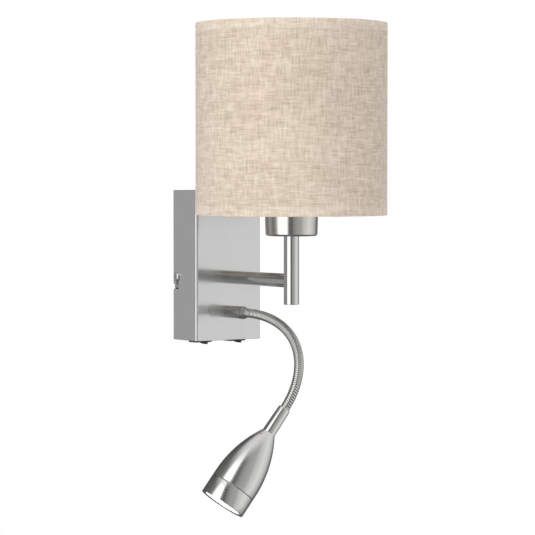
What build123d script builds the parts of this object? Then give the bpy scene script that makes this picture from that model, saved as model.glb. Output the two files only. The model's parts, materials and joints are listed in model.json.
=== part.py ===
"""Wall lamp with a drum shade and a flexible reading arm, as separate solids in millimetres.

Frame: the origin is on the wall, at the centre of the rectangular cover's back rim.
+Z is up, +Y points into the wall and -Y into the room, so the lamp stands out along -Y.
Every sub-part is one STEP file in parts/, named for the piece.
"""

import os
from math import cos, hypot, radians, sin, sqrt, tan

from build123d import *

# ---------------------------------------------------------------- driving dimensions
COVER_WIDTH = 76.0
COVER_HEIGHT = 146.0
COVER_DEPTH = 40.0
SHEET = 1.2  # sheet metal of the cover
COVER_EDGE_RADIUS = 1.5  # the folded vertical edges at the front

ARM_Z = -11.6  # height of the fixed arm and of the two side screws
ARM_REACH = 105.0  # from the cover's front to the post's axis
ARM_RADIUS = 6.5
ARM_BORE_RADIUS = 5.4

POST_RADIUS = 7.2
POST_WALL = 1.2
POST_BOTTOM_Z = -33.9

THREAD_RADIUS = 4.9  # M10x1 threaded tube, drawn plain
THREAD_BORE_RADIUS = 3.6
HOLE_RADIUS = 5.05  # clearance hole for the threaded tube

CUP_BOTTOM_Z = 30.7
CUP_HEIGHT = 34.0
CUP_BOTTOM_RADIUS = 24.5
CUP_TOP_RADIUS = 25.4
CUP_WALL = 1.0

SHADE_RADIUS = 90.0
SHADE_HEIGHT = 180.0
SHADE_BOTTOM_Z = 50.2
FABRIC_THICKNESS = 0.7
LINER_THICKNESS = 0.4
RING_WIRE_RADIUS = 1.5
SPOKE_COUNT = 3

SWITCH_X = 20.0  # each switch sits this far from the cover's middle
SWITCH_BEZEL = (18.5, 13.0, 1.5)
SWITCH_BODY = (16.8, 11.4, 16.0)
ROCKER_END_RADIUS = 7.6
ROCKER_WIDTH = 9.2
ROCKER_TILT = 11.0  # degrees each side of level
ROCKER_PIVOT_HEIGHT = 3.0  # above the bezel's outer face
AXLE_RADIUS = 1.0

READING_Z = -45.2  # height at which the flexible arm leaves the cover
SLEEVE_RADIUS = 6.25
SLEEVE_LENGTH = 25.2
COLLAR_LENGTH = 7.0

FLEX_LENGTH = 188.2
FLEX_RADIUS = 4.45
FLEX_BORE_RADIUS = 1.9
FLEX_LEAN = 35.0  # degrees that the bend's plane leans from vertical towards -X
FLEX_EVEN_TURN = 52.0  # degrees of the bend that are spread evenly
FLEX_END_TURN = 46.0  # degrees that gather towards the head, with the fourth power of the length
LINK_COUNT = 14
LINK_TAPER = 0.355  # links are this much longer than average at the wall, shorter at the head
BALL_RADIUS = 3.85
SOCKET_RADIUS = 3.95
SOCKET_LIP = 1.2
LINK_GAP = 3.2  # from a link's tube end to its ball's centre
BALL_NECK_RADIUS = 2.7
TAIL_RADIUS = 3.2  # the stub that the collar grips
TAIL_GAP = 0.3
NOSE_RADIUS = 2.5  # the stub that the neck sleeve grips
NOSE_GAP = 0.5
TAIL_LENGTH = 3.0  # both stubs

NECK_LENGTH = 27.0
NECK_TOP_RADIUS = 5.75
NECK_BOTTOM_RADIUS = 6.3
HEAD_LENGTH = 77.0
HEAD_RADIUS = 21.6
BEZEL_LENGTH = 17.8
OGIVE_START = 22.0  # straight side behind the mouth before the head narrows
HEAD_WALL = 1.3
LENS_DEPTH = 2.6  # the lens sits this far inside the mouth
OPENING_RADIUS = 17.8

# ---------------------------------------------------------------- derived places
POST_Y = -(COVER_DEPTH + ARM_REACH)
FLEX_START_Y = -(COVER_DEPTH + SLEEVE_LENGTH + COLLAR_LENGTH)
SWITCH_Y = -COVER_DEPTH / 2
COVER_FRONT_INSIDE = -COVER_DEPTH + SHEET
COVER_BOTTOM_Z = -COVER_HEIGHT / 2
CUP_TOP_Z = CUP_BOTTOM_Z + CUP_HEIGHT
OGIVE_RADIUS_OF_ARC = (
    (HEAD_LENGTH - OGIVE_START) ** 2 + (HEAD_RADIUS - NECK_BOTTOM_RADIUS - 0.3) ** 2
) / (2 * (HEAD_RADIUS - NECK_BOTTOM_RADIUS - 0.3))

BOTTOM_UP = (Align.CENTER, Align.CENTER, Align.MIN)
PAST = 1.0  # how far a cutter runs past the face that it opens
FAR = 99.0  # beyond every piece, for cutters that go right through


# ---------------------------------------------------------------- small helpers
def rod_z(radius, z_low, z_high, x=0.0, y=0.0):
    """A round bar along Z."""
    return Pos(x, y, z_low) * Cylinder(radius, z_high - z_low, align=BOTTOM_UP)


def rod_y(radius, y_back, y_front, x=0.0, z=0.0):
    """A round bar along Y, from y_back out to y_front, which is the smaller."""
    return Pos(x, y_back, z) * Rot(90, 0, 0) * Cylinder(radius, y_back - y_front, align=BOTTOM_UP)


def rod_x(radius, x_low, x_high, y=0.0, z=0.0):
    """A round bar along X."""
    return Pos(x_low, y, z) * Rot(0, 90, 0) * Cylinder(radius, x_high - x_low, align=BOTTOM_UP)


def block(x_low, x_high, y_low, y_high, z_low, z_high):
    """A box between two corners."""
    size = (x_high - x_low, y_high - y_low, z_high - z_low)
    middle = ((x_low + x_high) / 2, (y_low + y_high) / 2, (z_low + z_high) / 2)
    return Pos(*middle) * Box(*size)


def hexagon_y(across_flats, y_back, y_front, z):
    """A hexagonal nut's blank along Y."""
    outline = RegularPolygon(across_flats / 2, 6, major_radius=False)
    return Pos(0, y_back, z) * Rot(90, 0, 0) * extrude(outline, y_back - y_front)


def lathe(points):
    """A solid turned about Z from a closed outline of (radius, height) corners."""
    outline = make_face(Polyline(*[(r, 0, z) for r, z in points], close=True))
    return revolve(outline, Axis.Z)


def wire_run(points, radius, corner):
    """A round wire through the points, its corners rounded to one radius."""
    path = FilletPolyline(*points, radius=corner)
    section = Plane(origin=path @ 0, z_dir=path % 0) * Circle(radius)
    return sweep(section, path)


# ---------------------------------------------------------------- wall bracket and wiring box
BRACKET_THICKNESS = 1.5
BRACKET_HALF_WIDTH = COVER_WIDTH / 2 - SHEET - 0.4
BRACKET_HALF_HEIGHT = 46.0
EAR_DEPTH = 14.0
EAR_HALF_HEIGHT = 11.0
SIDE_SCREW_Y = -6.8
SIDE_SCREW_RADIUS = 2.0
WALL_SLOT_SPACING = 70.0
WALL_SLOT_LENGTH = 12.0
WALL_SLOT_RADIUS = 2.5
ENTRY_Z = 12.0
ENTRY_RADIUS = 8.0
GROMMET_BORE_RADIUS = 5.5
GROMMET_LIP = 1.2
GROMMET_FLANGE_RADIUS = 10.0
BRACKET_CORNER_RADIUS = 4.0
EAR_CORNER_RADIUS = 3.0

EARTH_X = 24.0
EARTH_WASHER = (4.5, 0.8)  # radius and thickness
EARTH_HEAD = (3.6, 2.4)
EARTH_DRIVE = (1.0, 1.2)  # width and depth of the screwdriver slot

POLE_PITCH = 10.0
TERMINAL_HALF_HEIGHT = 8.0
TERMINAL_DEPTH = 14.0
TERMINAL_WIRE_HOLE_RADIUS = 1.6
TERMINAL_SCREW_Z = 4.2  # each clamping screw's distance from the block's middle
TERMINAL_SCREW_HOLE_RADIUS = 1.9
TERMINAL_SCREW = (1.7, 4.0)  # radius and length
TERMINAL_SCREW_SINK = 1.5  # its head's depth below the block's face
TERMINAL_DRIVE = (0.6, 0.8)

DRIVER_BOX = (-26.0, 26.0, -37.8, -20.0, 14.0, 66.0)

COVER_RIM_BREAK = 0.4  # the bevel round the cover's top and bottom
SLOT_HALF_WIDTH = 2.3
SLOT_DROP = 9.5
SIDE_SCREW_LENGTH = 5.0
SWITCH_CLEARANCE = 0.2


def wall_bracket():
    """The steel plate that is screwed to the wall, with an ear each side for the cover's screws."""
    plate = block(
        -BRACKET_HALF_WIDTH, BRACKET_HALF_WIDTH, -BRACKET_THICKNESS, 0,
        -BRACKET_HALF_HEIGHT, BRACKET_HALF_HEIGHT,
    )
    plate = fillet(plate.edges().filter_by(Axis.Y), BRACKET_CORNER_RADIUS)
    for side in (-1, 1):
        outside = side * BRACKET_HALF_WIDTH
        inside = side * (BRACKET_HALF_WIDTH - BRACKET_THICKNESS)
        ear = block(
            min(outside, inside), max(outside, inside), -EAR_DEPTH, 0,
            ARM_Z - EAR_HALF_HEIGHT, ARM_Z + EAR_HALF_HEIGHT,
        )
        plate += fillet(ear.edges().filter_by(Axis.X).group_by(Axis.Y)[0], EAR_CORNER_RADIUS)
    for side in (-1, 1):
        z = side * WALL_SLOT_SPACING / 2
        slot = Rot(90, 0, 0) * SlotOverall(WALL_SLOT_LENGTH, 2 * WALL_SLOT_RADIUS, rotation=90)
        plate -= Pos(0, 0, z) * extrude(slot, BRACKET_THICKNESS + PAST, both=True)
    plate -= rod_y(ENTRY_RADIUS, PAST, -BRACKET_THICKNESS - PAST, z=ENTRY_Z)
    plate -= rod_x(SIDE_SCREW_RADIUS, -COVER_WIDTH, COVER_WIDTH, y=SIDE_SCREW_Y, z=ARM_Z)
    return plate - rod_y(SIDE_SCREW_RADIUS, PAST, -BRACKET_THICKNESS - PAST, x=EARTH_X, z=ENTRY_Z)


def cable_grommet():
    """The rubber ring in the bracket's cable hole."""
    front = -BRACKET_THICKNESS - GROMMET_LIP
    ring = rod_y(GROMMET_FLANGE_RADIUS, -BRACKET_THICKNESS, front, z=ENTRY_Z)
    ring += rod_y(ENTRY_RADIUS, 0, -BRACKET_THICKNESS, z=ENTRY_Z)
    return ring - rod_y(GROMMET_BORE_RADIUS, PAST, front - PAST, z=ENTRY_Z)


def earth_screw():
    """The earthing screw and its washer on the bracket."""
    washer_radius, washer_thickness = EARTH_WASHER
    head_radius, head_height = EARTH_HEAD
    drive_width, drive_depth = EARTH_DRIVE
    seat = -BRACKET_THICKNESS - washer_thickness
    top = seat - head_height
    screw = rod_y(SIDE_SCREW_RADIUS, 0, top, x=EARTH_X, z=ENTRY_Z)
    screw += rod_y(washer_radius, -BRACKET_THICKNESS, seat, x=EARTH_X, z=ENTRY_Z)
    screw += rod_y(head_radius, seat, top, x=EARTH_X, z=ENTRY_Z)
    drive = block(
        EARTH_X - head_radius - PAST, EARTH_X + head_radius + PAST, top - PAST, top + drive_depth,
        ENTRY_Z - drive_width / 2, ENTRY_Z + drive_width / 2,
    )
    return screw - drive


def terminal_block():
    """The three-pole connector block on the bracket."""
    body = block(
        -1.5 * POLE_PITCH, 1.5 * POLE_PITCH,
        -BRACKET_THICKNESS - TERMINAL_DEPTH, -BRACKET_THICKNESS,
        ARM_Z - TERMINAL_HALF_HEIGHT, ARM_Z + TERMINAL_HALF_HEIGHT,
    )
    body = fillet(body.edges().filter_by(Axis.Y), 1)
    wire_y = -BRACKET_THICKNESS - TERMINAL_DEPTH / 2
    for pole in (-1, 0, 1):
        x = pole * POLE_PITCH
        body -= rod_z(TERMINAL_WIRE_HOLE_RADIUS, -FAR, FAR, x=x, y=wire_y)
        for side in (-1, 1):
            front = -BRACKET_THICKNESS - TERMINAL_DEPTH - PAST
            z = ARM_Z + side * TERMINAL_SCREW_Z
            body -= rod_y(TERMINAL_SCREW_HOLE_RADIUS, wire_y, front, x=x, z=z)
    return body


def terminal_screws():
    """The six clamping screws of the connector block."""
    top = -BRACKET_THICKNESS - TERMINAL_DEPTH + TERMINAL_SCREW_SINK
    radius, length = TERMINAL_SCREW
    width, depth = TERMINAL_DRIVE
    screws = []
    for pole in (-1, 0, 1):
        for side in (-1, 1):
            x, z = pole * POLE_PITCH, ARM_Z + side * TERMINAL_SCREW_Z
            screw = rod_y(radius, top + length, top, x=x, z=z)
            screws.append(
                screw - block(x - FAR, x + FAR, top - PAST, top + depth, z - width / 2, z + width / 2)
            )
    return Compound(children=screws)


def led_driver():
    """The sealed supply that feeds the reading light, stuck inside the cover's front."""
    corner_radius, bevel = 2.0, 1.0
    driver = fillet(block(*DRIVER_BOX).edges().filter_by(Axis.Z), corner_radius)
    return chamfer(driver.faces().sort_by(Axis.Y)[-1].edges(), bevel)


def cover_box():
    """The five-sided sheet-metal cover, open to the wall."""
    half_w, half_h = COVER_WIDTH / 2, COVER_HEIGHT / 2
    outer = block(-half_w, half_w, -COVER_DEPTH, 0, -half_h, half_h)
    front_edges = outer.edges().filter_by(Axis.Z).group_by(Axis.Y)[0]
    outer = fillet(front_edges, COVER_EDGE_RADIUS)
    ends = outer.faces().filter_by(Axis.Z).edges()
    outer = chamfer([e for e in ends if e.center().Y < -COVER_RIM_BREAK / 2], COVER_RIM_BREAK)
    inner = block(
        -half_w + SHEET, half_w - SHEET, COVER_FRONT_INSIDE, PAST, -half_h + SHEET, half_h - SHEET
    )
    cover = outer - inner
    for z in (ARM_Z, READING_Z):
        cover -= rod_y(HOLE_RADIUS, COVER_FRONT_INSIDE + PAST, -COVER_DEPTH - PAST, z=z)
    cut_w, cut_d = SWITCH_BODY[0] / 2 + SWITCH_CLEARANCE, SWITCH_BODY[1] / 2 + SWITCH_CLEARANCE
    for side in (-1, 1):
        cover -= block(
            side * SWITCH_X - cut_w, side * SWITCH_X + cut_w,
            SWITCH_Y - cut_d, SWITCH_Y + cut_d, -half_h - PAST, -half_h + SHEET + PAST,
        )
        cover -= side_slot(side)
    return cover


def side_slot(side):
    """The angled slot that hooks over a side screw: in from the wall edge, then up."""
    flank = side * COVER_WIDTH / 2
    x_low, x_high = sorted((flank - side * (SHEET + PAST), flank + side * PAST))
    entry_z = ARM_Z - SLOT_DROP
    upright = block(
        x_low, x_high, SIDE_SCREW_Y - SLOT_HALF_WIDTH, SIDE_SCREW_Y + SLOT_HALF_WIDTH, entry_z, ARM_Z
    )
    mouth = block(
        x_low, x_high, SIDE_SCREW_Y, PAST, entry_z - SLOT_HALF_WIDTH, entry_z + SLOT_HALF_WIDTH
    )
    top = rod_x(SLOT_HALF_WIDTH, x_low, x_high, y=SIDE_SCREW_Y, z=ARM_Z)
    bottom = rod_x(SLOT_HALF_WIDTH, x_low, x_high, y=SIDE_SCREW_Y, z=entry_z)
    return upright + mouth + top + bottom


def cover_screws():
    """The two pan-head screws that clamp the cover to the bracket's ears."""
    screws = []
    outside = COVER_WIDTH / 2
    for side in (-1, 1):
        low, high = sorted((side * (outside - SIDE_SCREW_LENGTH), side * outside))
        shank = rod_x(SIDE_SCREW_RADIUS, low, high, y=SIDE_SCREW_Y, z=ARM_Z)
        head = Pos(side * outside, SIDE_SCREW_Y, ARM_Z) * Rot(0, side * 90, 0) * pan_head()
        screws.append(shank + head)
    return Compound(children=screws)


def pan_head():
    """A domed screw head on its seat, with a cross recess."""
    radius, height, dome = 4.0, 2.4, 1.2
    cross_width, cross_arm, cross_depth = 3.6, 0.9, 1.2
    head = Cylinder(radius, height, align=BOTTOM_UP)
    head = fillet(head.faces().sort_by(Axis.Z)[-1].edges(), dome)
    for turn in (0, 90):
        head -= Rot(0, 0, turn) * Pos(0, 0, height) * Box(cross_width, cross_arm, 2 * cross_depth)
    return head


# ---------------------------------------------------------------- rocker switches
BEZEL_CORNER_RADIUS = 1.2
BEZEL_BREAK = 0.5
ROCKER_ROOM = 0.25  # free space round a rocker on each side
ROCKER_TOP = 4.0  # height of a rocker's flat top above its axle
ROCKER_FACE_DROP = 0.5  # its face stands out of the bezel by this much at the middle
AXLE_CLEARANCE = 0.06
TAB_OFFSET = 5.0
TAB_HEIGHT = 7.0
TAB_HALF_WIDTH = 2.4
TAB_HALF_THICKNESS = 0.4


def switch_body(side):
    """A snap-in switch: the bezel under the cover and the housing above it."""
    x = side * SWITCH_X
    bezel_w, bezel_d, bezel_t = SWITCH_BEZEL
    body_w, body_d, body_h = SWITCH_BODY
    bezel = Pos(x, SWITCH_Y, COVER_BOTTOM_Z - bezel_t) * Box(bezel_w, bezel_d, bezel_t, align=BOTTOM_UP)
    bezel = fillet(bezel.edges().filter_by(Axis.Z), BEZEL_CORNER_RADIUS)
    bezel = chamfer(bezel.faces().sort_by(Axis.Z)[0].edges(), BEZEL_BREAK)
    body = bezel + Pos(x, SWITCH_Y, COVER_BOTTOM_Z) * Box(body_w, body_d, body_h, align=BOTTOM_UP)
    pivot_z = rocker_pivot_z()
    half_w, half_d = ROCKER_END_RADIUS + ROCKER_ROOM, ROCKER_WIDTH / 2 + ROCKER_ROOM
    top = pivot_z + 0.8 * ROCKER_END_RADIUS
    body -= block(
        x - half_w, x + half_w, SWITCH_Y - half_d, SWITCH_Y + half_d, COVER_BOTTOM_Z - bezel_t - PAST, top
    )
    half = body_d / 2 + PAST
    return body - rod_y(AXLE_RADIUS + AXLE_CLEARANCE, SWITCH_Y + half, SWITCH_Y - half, x=x, z=pivot_z)


def rocker_pivot_z():
    """Height of a rocker's axle."""
    return COVER_BOTTOM_Z - SWITCH_BEZEL[2] + ROCKER_PIVOT_HEIGHT


def rocker(side):
    """A black rocker with a shallow V face, tilted so that its +X end stands out."""
    middle_z = -ROCKER_PIVOT_HEIGHT - ROCKER_FACE_DROP
    reach = ROCKER_END_RADIUS + PAST
    end_z = middle_z - reach * tan(radians(ROCKER_TILT))
    outline = Polyline(
        (-reach, ROCKER_TOP), (reach, ROCKER_TOP), (reach, end_z), (0, middle_z), (-reach, end_z), close=True
    )
    face = make_face(outline) & Circle(ROCKER_END_RADIUS)
    bar = extrude(Plane.XZ * face, ROCKER_WIDTH / 2, both=True)
    axle_end = SWITCH_BODY[1] / 2 - 0.1
    bar += rod_y(AXLE_RADIUS, axle_end, -axle_end)
    return Pos(side * SWITCH_X, SWITCH_Y, rocker_pivot_z()) * Rot(0, ROCKER_TILT, 0) * bar


def switch_tabs():
    """The two blade terminals on top of each switch."""
    tabs = []
    low = COVER_BOTTOM_Z + SWITCH_BODY[2]
    for side in (-1, 1):
        for end in (-1, 1):
            x = side * SWITCH_X + end * TAB_OFFSET
            tabs.append(
                block(
                    x - TAB_HALF_THICKNESS, x + TAB_HALF_THICKNESS,
                    SWITCH_Y - TAB_HALF_WIDTH, SWITCH_Y + TAB_HALF_WIDTH, low, low + TAB_HEIGHT,
                )
            )
    return Compound(children=tabs)


# ---------------------------------------------------------------- fixed arm, post and lampholder
NUT_ACROSS_FLATS = 14.0
NUT_THICKNESS = 4.0
WASHER_THICKNESS = 0.8
WASHER_RADIUS = 8.5
THREAD_INSIDE_COVER = 10.0
POST_BREAK = 0.4
PLUG_LENGTH = 4.0
PLUG_BREAK = 0.6
BUSH_LENGTH = 12.0

HOLDER_FLOOR_Z = CUP_BOTTOM_Z + CUP_WALL
HOLDER_SEAT_Z = 48.0
HOLDER_TOP_Z = 82.0
HOLDER_BASE_RADIUS = 19.0
HOLDER_THREAD_RADIUS = 19.6
HOLDER_FLANGE_RADIUS = 24.0
HOLDER_FLANGE_THICKNESS = 1.5
NIPPLE_ABOVE_FLOOR = 9.0
CUP_CORNER_RADIUS = 2.2  # the spun edge round the cup's floor, outside
SHELL_OUTER_RADIUS = 14.1
SHELL_WALL = 0.5
SHELL_CLEARANCE = 0.2

CONTACT_THICKNESS = 0.6
CONTACT_HALF_LENGTH = 11.0
CONTACT_HALF_WIDTH = 2.5
CONTACT_DISC_RADIUS = 5.6
CONTACT_PIP_RADIUS = 2.2
CONTACT_TOP_Z = HOLDER_SEAT_Z + 3.0


def panel_nuts():
    """The two M10 nuts that hold the fixed arm and the reading arm inside the cover."""
    back = COVER_FRONT_INSIDE + WASHER_THICKNESS
    nuts = []
    for z in (ARM_Z, READING_Z):
        nut = hexagon_y(NUT_ACROSS_FLATS, back + NUT_THICKNESS, back, z)
        nuts.append(nut - rod_y(THREAD_RADIUS, back + NUT_THICKNESS + PAST, back - PAST, z=z))
    return Compound(children=nuts)


def panel_washers():
    """The two washers under those nuts."""
    washers = []
    for z in (ARM_Z, READING_Z):
        ring = rod_y(WASHER_RADIUS, COVER_FRONT_INSIDE + WASHER_THICKNESS, COVER_FRONT_INSIDE, z=z)
        washers.append(ring - rod_y(HOLE_RADIUS, 0, -COVER_DEPTH, z=z))
    return Compound(children=washers)


def post_inner_radius():
    """Bore of the post."""
    return POST_RADIUS - POST_WALL


def arm_threaded_tube():
    """The hollow threaded rod that runs through the arm and screws into the post."""
    back = COVER_FRONT_INSIDE + THREAD_INSIDE_COVER
    front = POST_Y + post_inner_radius() + 0.3
    tube = rod_y(THREAD_RADIUS, back, front, z=ARM_Z)
    return tube - rod_y(THREAD_BORE_RADIUS, back + PAST, front - PAST, z=ARM_Z)


def arm_tube():
    """The visible arm, a sleeve over the threaded rod, coped to the post's side."""
    tube = rod_y(ARM_RADIUS, -COVER_DEPTH, POST_Y, z=ARM_Z)
    tube -= rod_y(ARM_BORE_RADIUS, 0, POST_Y - PAST, z=ARM_Z)
    return tube - rod_z(POST_RADIUS, POST_BOTTOM_Z, CUP_BOTTOM_Z, y=POST_Y)


def post_tube():
    """The upright tube that carries the lampholder."""
    tube = rod_z(POST_RADIUS, POST_BOTTOM_Z, CUP_BOTTOM_Z, y=POST_Y)
    tube = chamfer(tube.faces().sort_by(Axis.Z)[0].edges(), POST_BREAK)
    tube -= rod_z(post_inner_radius(), -FAR, FAR, y=POST_Y)
    return tube - rod_y(THREAD_RADIUS, POST_Y + 2 * POST_RADIUS, POST_Y, z=ARM_Z)


def post_end_plug():
    """The disc that closes the post's lower end."""
    plug = rod_z(post_inner_radius(), POST_BOTTOM_Z, POST_BOTTOM_Z + PLUG_LENGTH, y=POST_Y)
    return chamfer(plug.faces().sort_by(Axis.Z)[-1].edges(), PLUG_BREAK)


def post_top_bush():
    """The threaded bush inside the post's upper end."""
    bush = rod_z(post_inner_radius(), CUP_BOTTOM_Z - BUSH_LENGTH, CUP_BOTTOM_Z, y=POST_Y)
    return bush - rod_z(THREAD_RADIUS, -FAR, FAR, y=POST_Y)


def holder_nipple():
    """The short threaded tube through the cup's floor, from the bush into the lampholder."""
    low = CUP_BOTTOM_Z - BUSH_LENGTH + 1
    nipple = rod_z(THREAD_RADIUS, low, HOLDER_FLOOR_Z + NIPPLE_ABOVE_FLOOR, y=POST_Y)
    return nipple - rod_z(THREAD_BORE_RADIUS, -FAR, FAR, y=POST_Y)


def holder_cup():
    """The metal cup round the lampholder, slightly wider at its mouth."""
    r0, r1, top, wall = CUP_BOTTOM_RADIUS, CUP_TOP_RADIUS, CUP_HEIGHT, CUP_WALL
    outer = lathe([(0, 0), (r0, 0), (r1, top), (0, top)])
    outer = fillet(outer.edges().sort_by(Axis.Z)[0], CUP_CORNER_RADIUS)
    inner = lathe([(0, wall), (r0 - wall, wall), (r1 - wall, top), (0, top)])
    inner = fillet(inner.edges().sort_by(Axis.Z)[0], CUP_CORNER_RADIUS - wall)
    cup = Pos(0, POST_Y, CUP_BOTTOM_Z) * (outer - inner)
    return cup - rod_z(HOLE_RADIUS, 0, CUP_TOP_Z, y=POST_Y)


def lampholder_shell():
    """The insulating lampholder: base in the cup, flange on its rim, outer thread above."""
    bore = SHELL_OUTER_RADIUS + SHELL_CLEARANCE
    flange_z = CUP_TOP_Z - HOLDER_FLANGE_THICKNESS
    shell = lathe(
        [
            (HOLE_RADIUS, HOLDER_FLOOR_Z), (HOLDER_BASE_RADIUS, HOLDER_FLOOR_Z),
            (HOLDER_BASE_RADIUS, flange_z), (HOLDER_FLANGE_RADIUS, flange_z),
            (HOLDER_FLANGE_RADIUS, CUP_TOP_Z), (HOLDER_THREAD_RADIUS, CUP_TOP_Z),
            (HOLDER_THREAD_RADIUS, HOLDER_TOP_Z), (bore, HOLDER_TOP_Z),
            (bore, HOLDER_SEAT_Z), (HOLE_RADIUS, HOLDER_SEAT_Z),
        ]
    )
    return Pos(0, POST_Y, 0) * shell


def lampholder_screw_shell():
    """The brass screw shell that takes the bulb's cap."""
    low, high = HOLDER_SEAT_Z + 1, HOLDER_TOP_Z - 2
    shell = rod_z(SHELL_OUTER_RADIUS, low, high, y=POST_Y)
    return shell - rod_z(SHELL_OUTER_RADIUS - SHELL_WALL, low - PAST, high + PAST, y=POST_Y)


def lampholder_contact():
    """The sprung centre contact on the lampholder's floor."""
    low, high = HOLDER_SEAT_Z, HOLDER_SEAT_Z + CONTACT_THICKNESS
    strip = block(
        -CONTACT_HALF_LENGTH, CONTACT_HALF_LENGTH,
        POST_Y - CONTACT_HALF_WIDTH, POST_Y + CONTACT_HALF_WIDTH, low, high,
    )
    strip += rod_z(CONTACT_DISC_RADIUS, low, high, y=POST_Y)
    return strip + rod_z(CONTACT_PIP_RADIUS, low, CONTACT_TOP_Z, y=POST_Y)


# ---------------------------------------------------------------- shade and what carries it
CARRIER_THICKNESS = 1.5
CARRIER_RADIUS = 28.5
CARRIER_CLEARANCE = 0.4  # between its hole and the lampholder's thread
HOOP_GAP = 0.1  # between a hoop and the liner
HOOP_INSET = 0.4  # from the shade's rim to the hoop's wire
RING_NUT_RADIUS = 25.0
RING_NUT_HEIGHT = 7.0
RING_NUT_BREAK = 1.0
RING_NUT_NOTCHES = 12
LINER_GAP = 0.05  # between fabric and liner
LINER_INSET = 0.2  # the liner stops this far short of the fabric's rims


def shade_ring_nut():
    """The insulating ring that clamps the shade's carrier on the lampholder's thread."""
    low = CUP_TOP_Z + CARRIER_THICKNESS
    ring = rod_z(RING_NUT_RADIUS, low, low + RING_NUT_HEIGHT, y=POST_Y)
    ring = fillet(ring.faces().sort_by(Axis.Z)[-1].edges(), RING_NUT_BREAK)
    notch_radius, notch_place = 1.0, RING_NUT_RADIUS + 0.2
    for notch in range(RING_NUT_NOTCHES):
        turn = Rot(0, 0, notch * 360 / RING_NUT_NOTCHES)
        ring -= Pos(0, POST_Y, 0) * turn * rod_z(notch_radius, -FAR, FAR, x=notch_place)
    return ring - rod_z(HOLDER_THREAD_RADIUS + 0.1, -FAR, FAR, y=POST_Y)


def shade_inner_radius():
    """Inside of the shade's liner."""
    return SHADE_RADIUS - FABRIC_THICKNESS - LINER_THICKNESS - 2 * LINER_GAP


def hoop_radius():
    """Radius of a hoop's centre line."""
    return shade_inner_radius() - RING_WIRE_RADIUS - HOOP_GAP


def wire_ring(z):
    """A wire hoop just inside the shade's liner."""
    return Pos(0, POST_Y, z) * Torus(hoop_radius(), RING_WIRE_RADIUS)


def shade_carrier():
    """The lower hoop, its three spokes and the flat ring that sits on the lampholder."""
    hoop_z = SHADE_BOTTOM_Z + RING_WIRE_RADIUS + HOOP_INSET
    ring = rod_z(CARRIER_RADIUS, CUP_TOP_Z, CUP_TOP_Z + CARRIER_THICKNESS, y=POST_Y)
    ring -= rod_z(HOLDER_THREAD_RADIUS + CARRIER_CLEARANCE, -FAR, FAR, y=POST_Y)
    carrier = wire_ring(hoop_z) + ring
    start = (CARRIER_RADIUS - 1, CUP_TOP_Z + CARRIER_THICKNESS / 2)
    end = (hoop_radius(), hoop_z)
    run = hypot(end[0] - start[0], end[1] - start[1])
    for spoke in range(SPOKE_COUNT):
        turn = 90 + spoke * 360 / SPOKE_COUNT
        line = Plane(
            origin=(start[0], 0, start[1]), z_dir=(end[0] - start[0], 0, end[1] - start[1])
        ) * Cylinder(RING_WIRE_RADIUS, run, align=BOTTOM_UP)
        carrier += Pos(0, POST_Y, 0) * Rot(0, 0, turn) * line
    return carrier


def shade_top_ring():
    """The upper hoop."""
    return wire_ring(SHADE_BOTTOM_Z + SHADE_HEIGHT - RING_WIRE_RADIUS - HOOP_INSET)


def drum(outer, thickness, end_gap):
    """A thin open drum of the shade's height, less a gap at each end."""
    low, high = SHADE_BOTTOM_Z + end_gap, SHADE_BOTTOM_Z + SHADE_HEIGHT - end_gap
    bore = rod_z(outer - thickness, low - PAST, high + PAST, y=POST_Y)
    return rod_z(outer, low, high, y=POST_Y) - bore


def shade_fabric():
    """The linen drum."""
    return drum(SHADE_RADIUS, FABRIC_THICKNESS, 0)


def shade_liner():
    """The stiff plastic sheet that the linen is laminated to."""
    return drum(SHADE_RADIUS - FABRIC_THICKNESS - LINER_GAP, LINER_THICKNESS, LINER_INSET)


# ---------------------------------------------------------------- bulb
BULB_CAP_RADIUS = 13.3
BULB_CAP_TOP_Z = 77.0
BULB_NECK_RADIUS = 13.4
BULB_SHOULDER_Z = 105.0
BULB_GLOBE_Z = 126.0
BULB_GLOBE_RADIUS = 30.0
BULB_GLASS = 1.2


def bulb_shoulder_radius():
    """Where the globe meets the collar."""
    return sqrt(BULB_GLOBE_RADIUS**2 - (BULB_GLOBE_Z - BULB_SHOULDER_Z) ** 2)


def bulb_cap():
    """The bulb's metal screw cap with its centre contact."""
    low, top, r = CONTACT_TOP_Z, BULB_CAP_TOP_Z, BULB_CAP_RADIUS
    pip, cone = [(4.5, low), (5, low + 1)], [(r - 2, low + 4), (r, low + 6)]
    return Pos(0, POST_Y, 0) * lathe([(0, low), *pip, *cone, (r, top), (0, top)])


def bulb_collar():
    """The bulb's plastic body between cap and globe."""
    collar = lathe(
        [
            (0, BULB_CAP_TOP_Z), (BULB_NECK_RADIUS, BULB_CAP_TOP_Z), (BULB_NECK_RADIUS, HOLDER_TOP_Z + 1),
            (BULB_NECK_RADIUS + 2, HOLDER_TOP_Z + 5), (bulb_shoulder_radius(), BULB_SHOULDER_Z),
            (0, BULB_SHOULDER_Z),
        ]
    )
    return Pos(0, POST_Y, 0) * collar


def bulb_globe():
    """The opal envelope."""
    globe = Sphere(BULB_GLOBE_RADIUS) - Sphere(BULB_GLOBE_RADIUS - BULB_GLASS)
    below = BULB_SHOULDER_Z - BULB_GLOBE_Z
    globe -= Pos(0, 0, below) * Box(FAR, FAR, FAR, align=(Align.CENTER, Align.CENTER, Align.MAX))
    return Pos(0, POST_Y, BULB_GLOBE_Z) * globe


# ---------------------------------------------------------------- reading arm, fixed end
SLEEVE_BREAK = 0.6
COLLAR_BAND = 2.4  # the straight part behind the collar's taper
COLLAR_TIP_RADIUS = FLEX_RADIUS + 0.5


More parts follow.
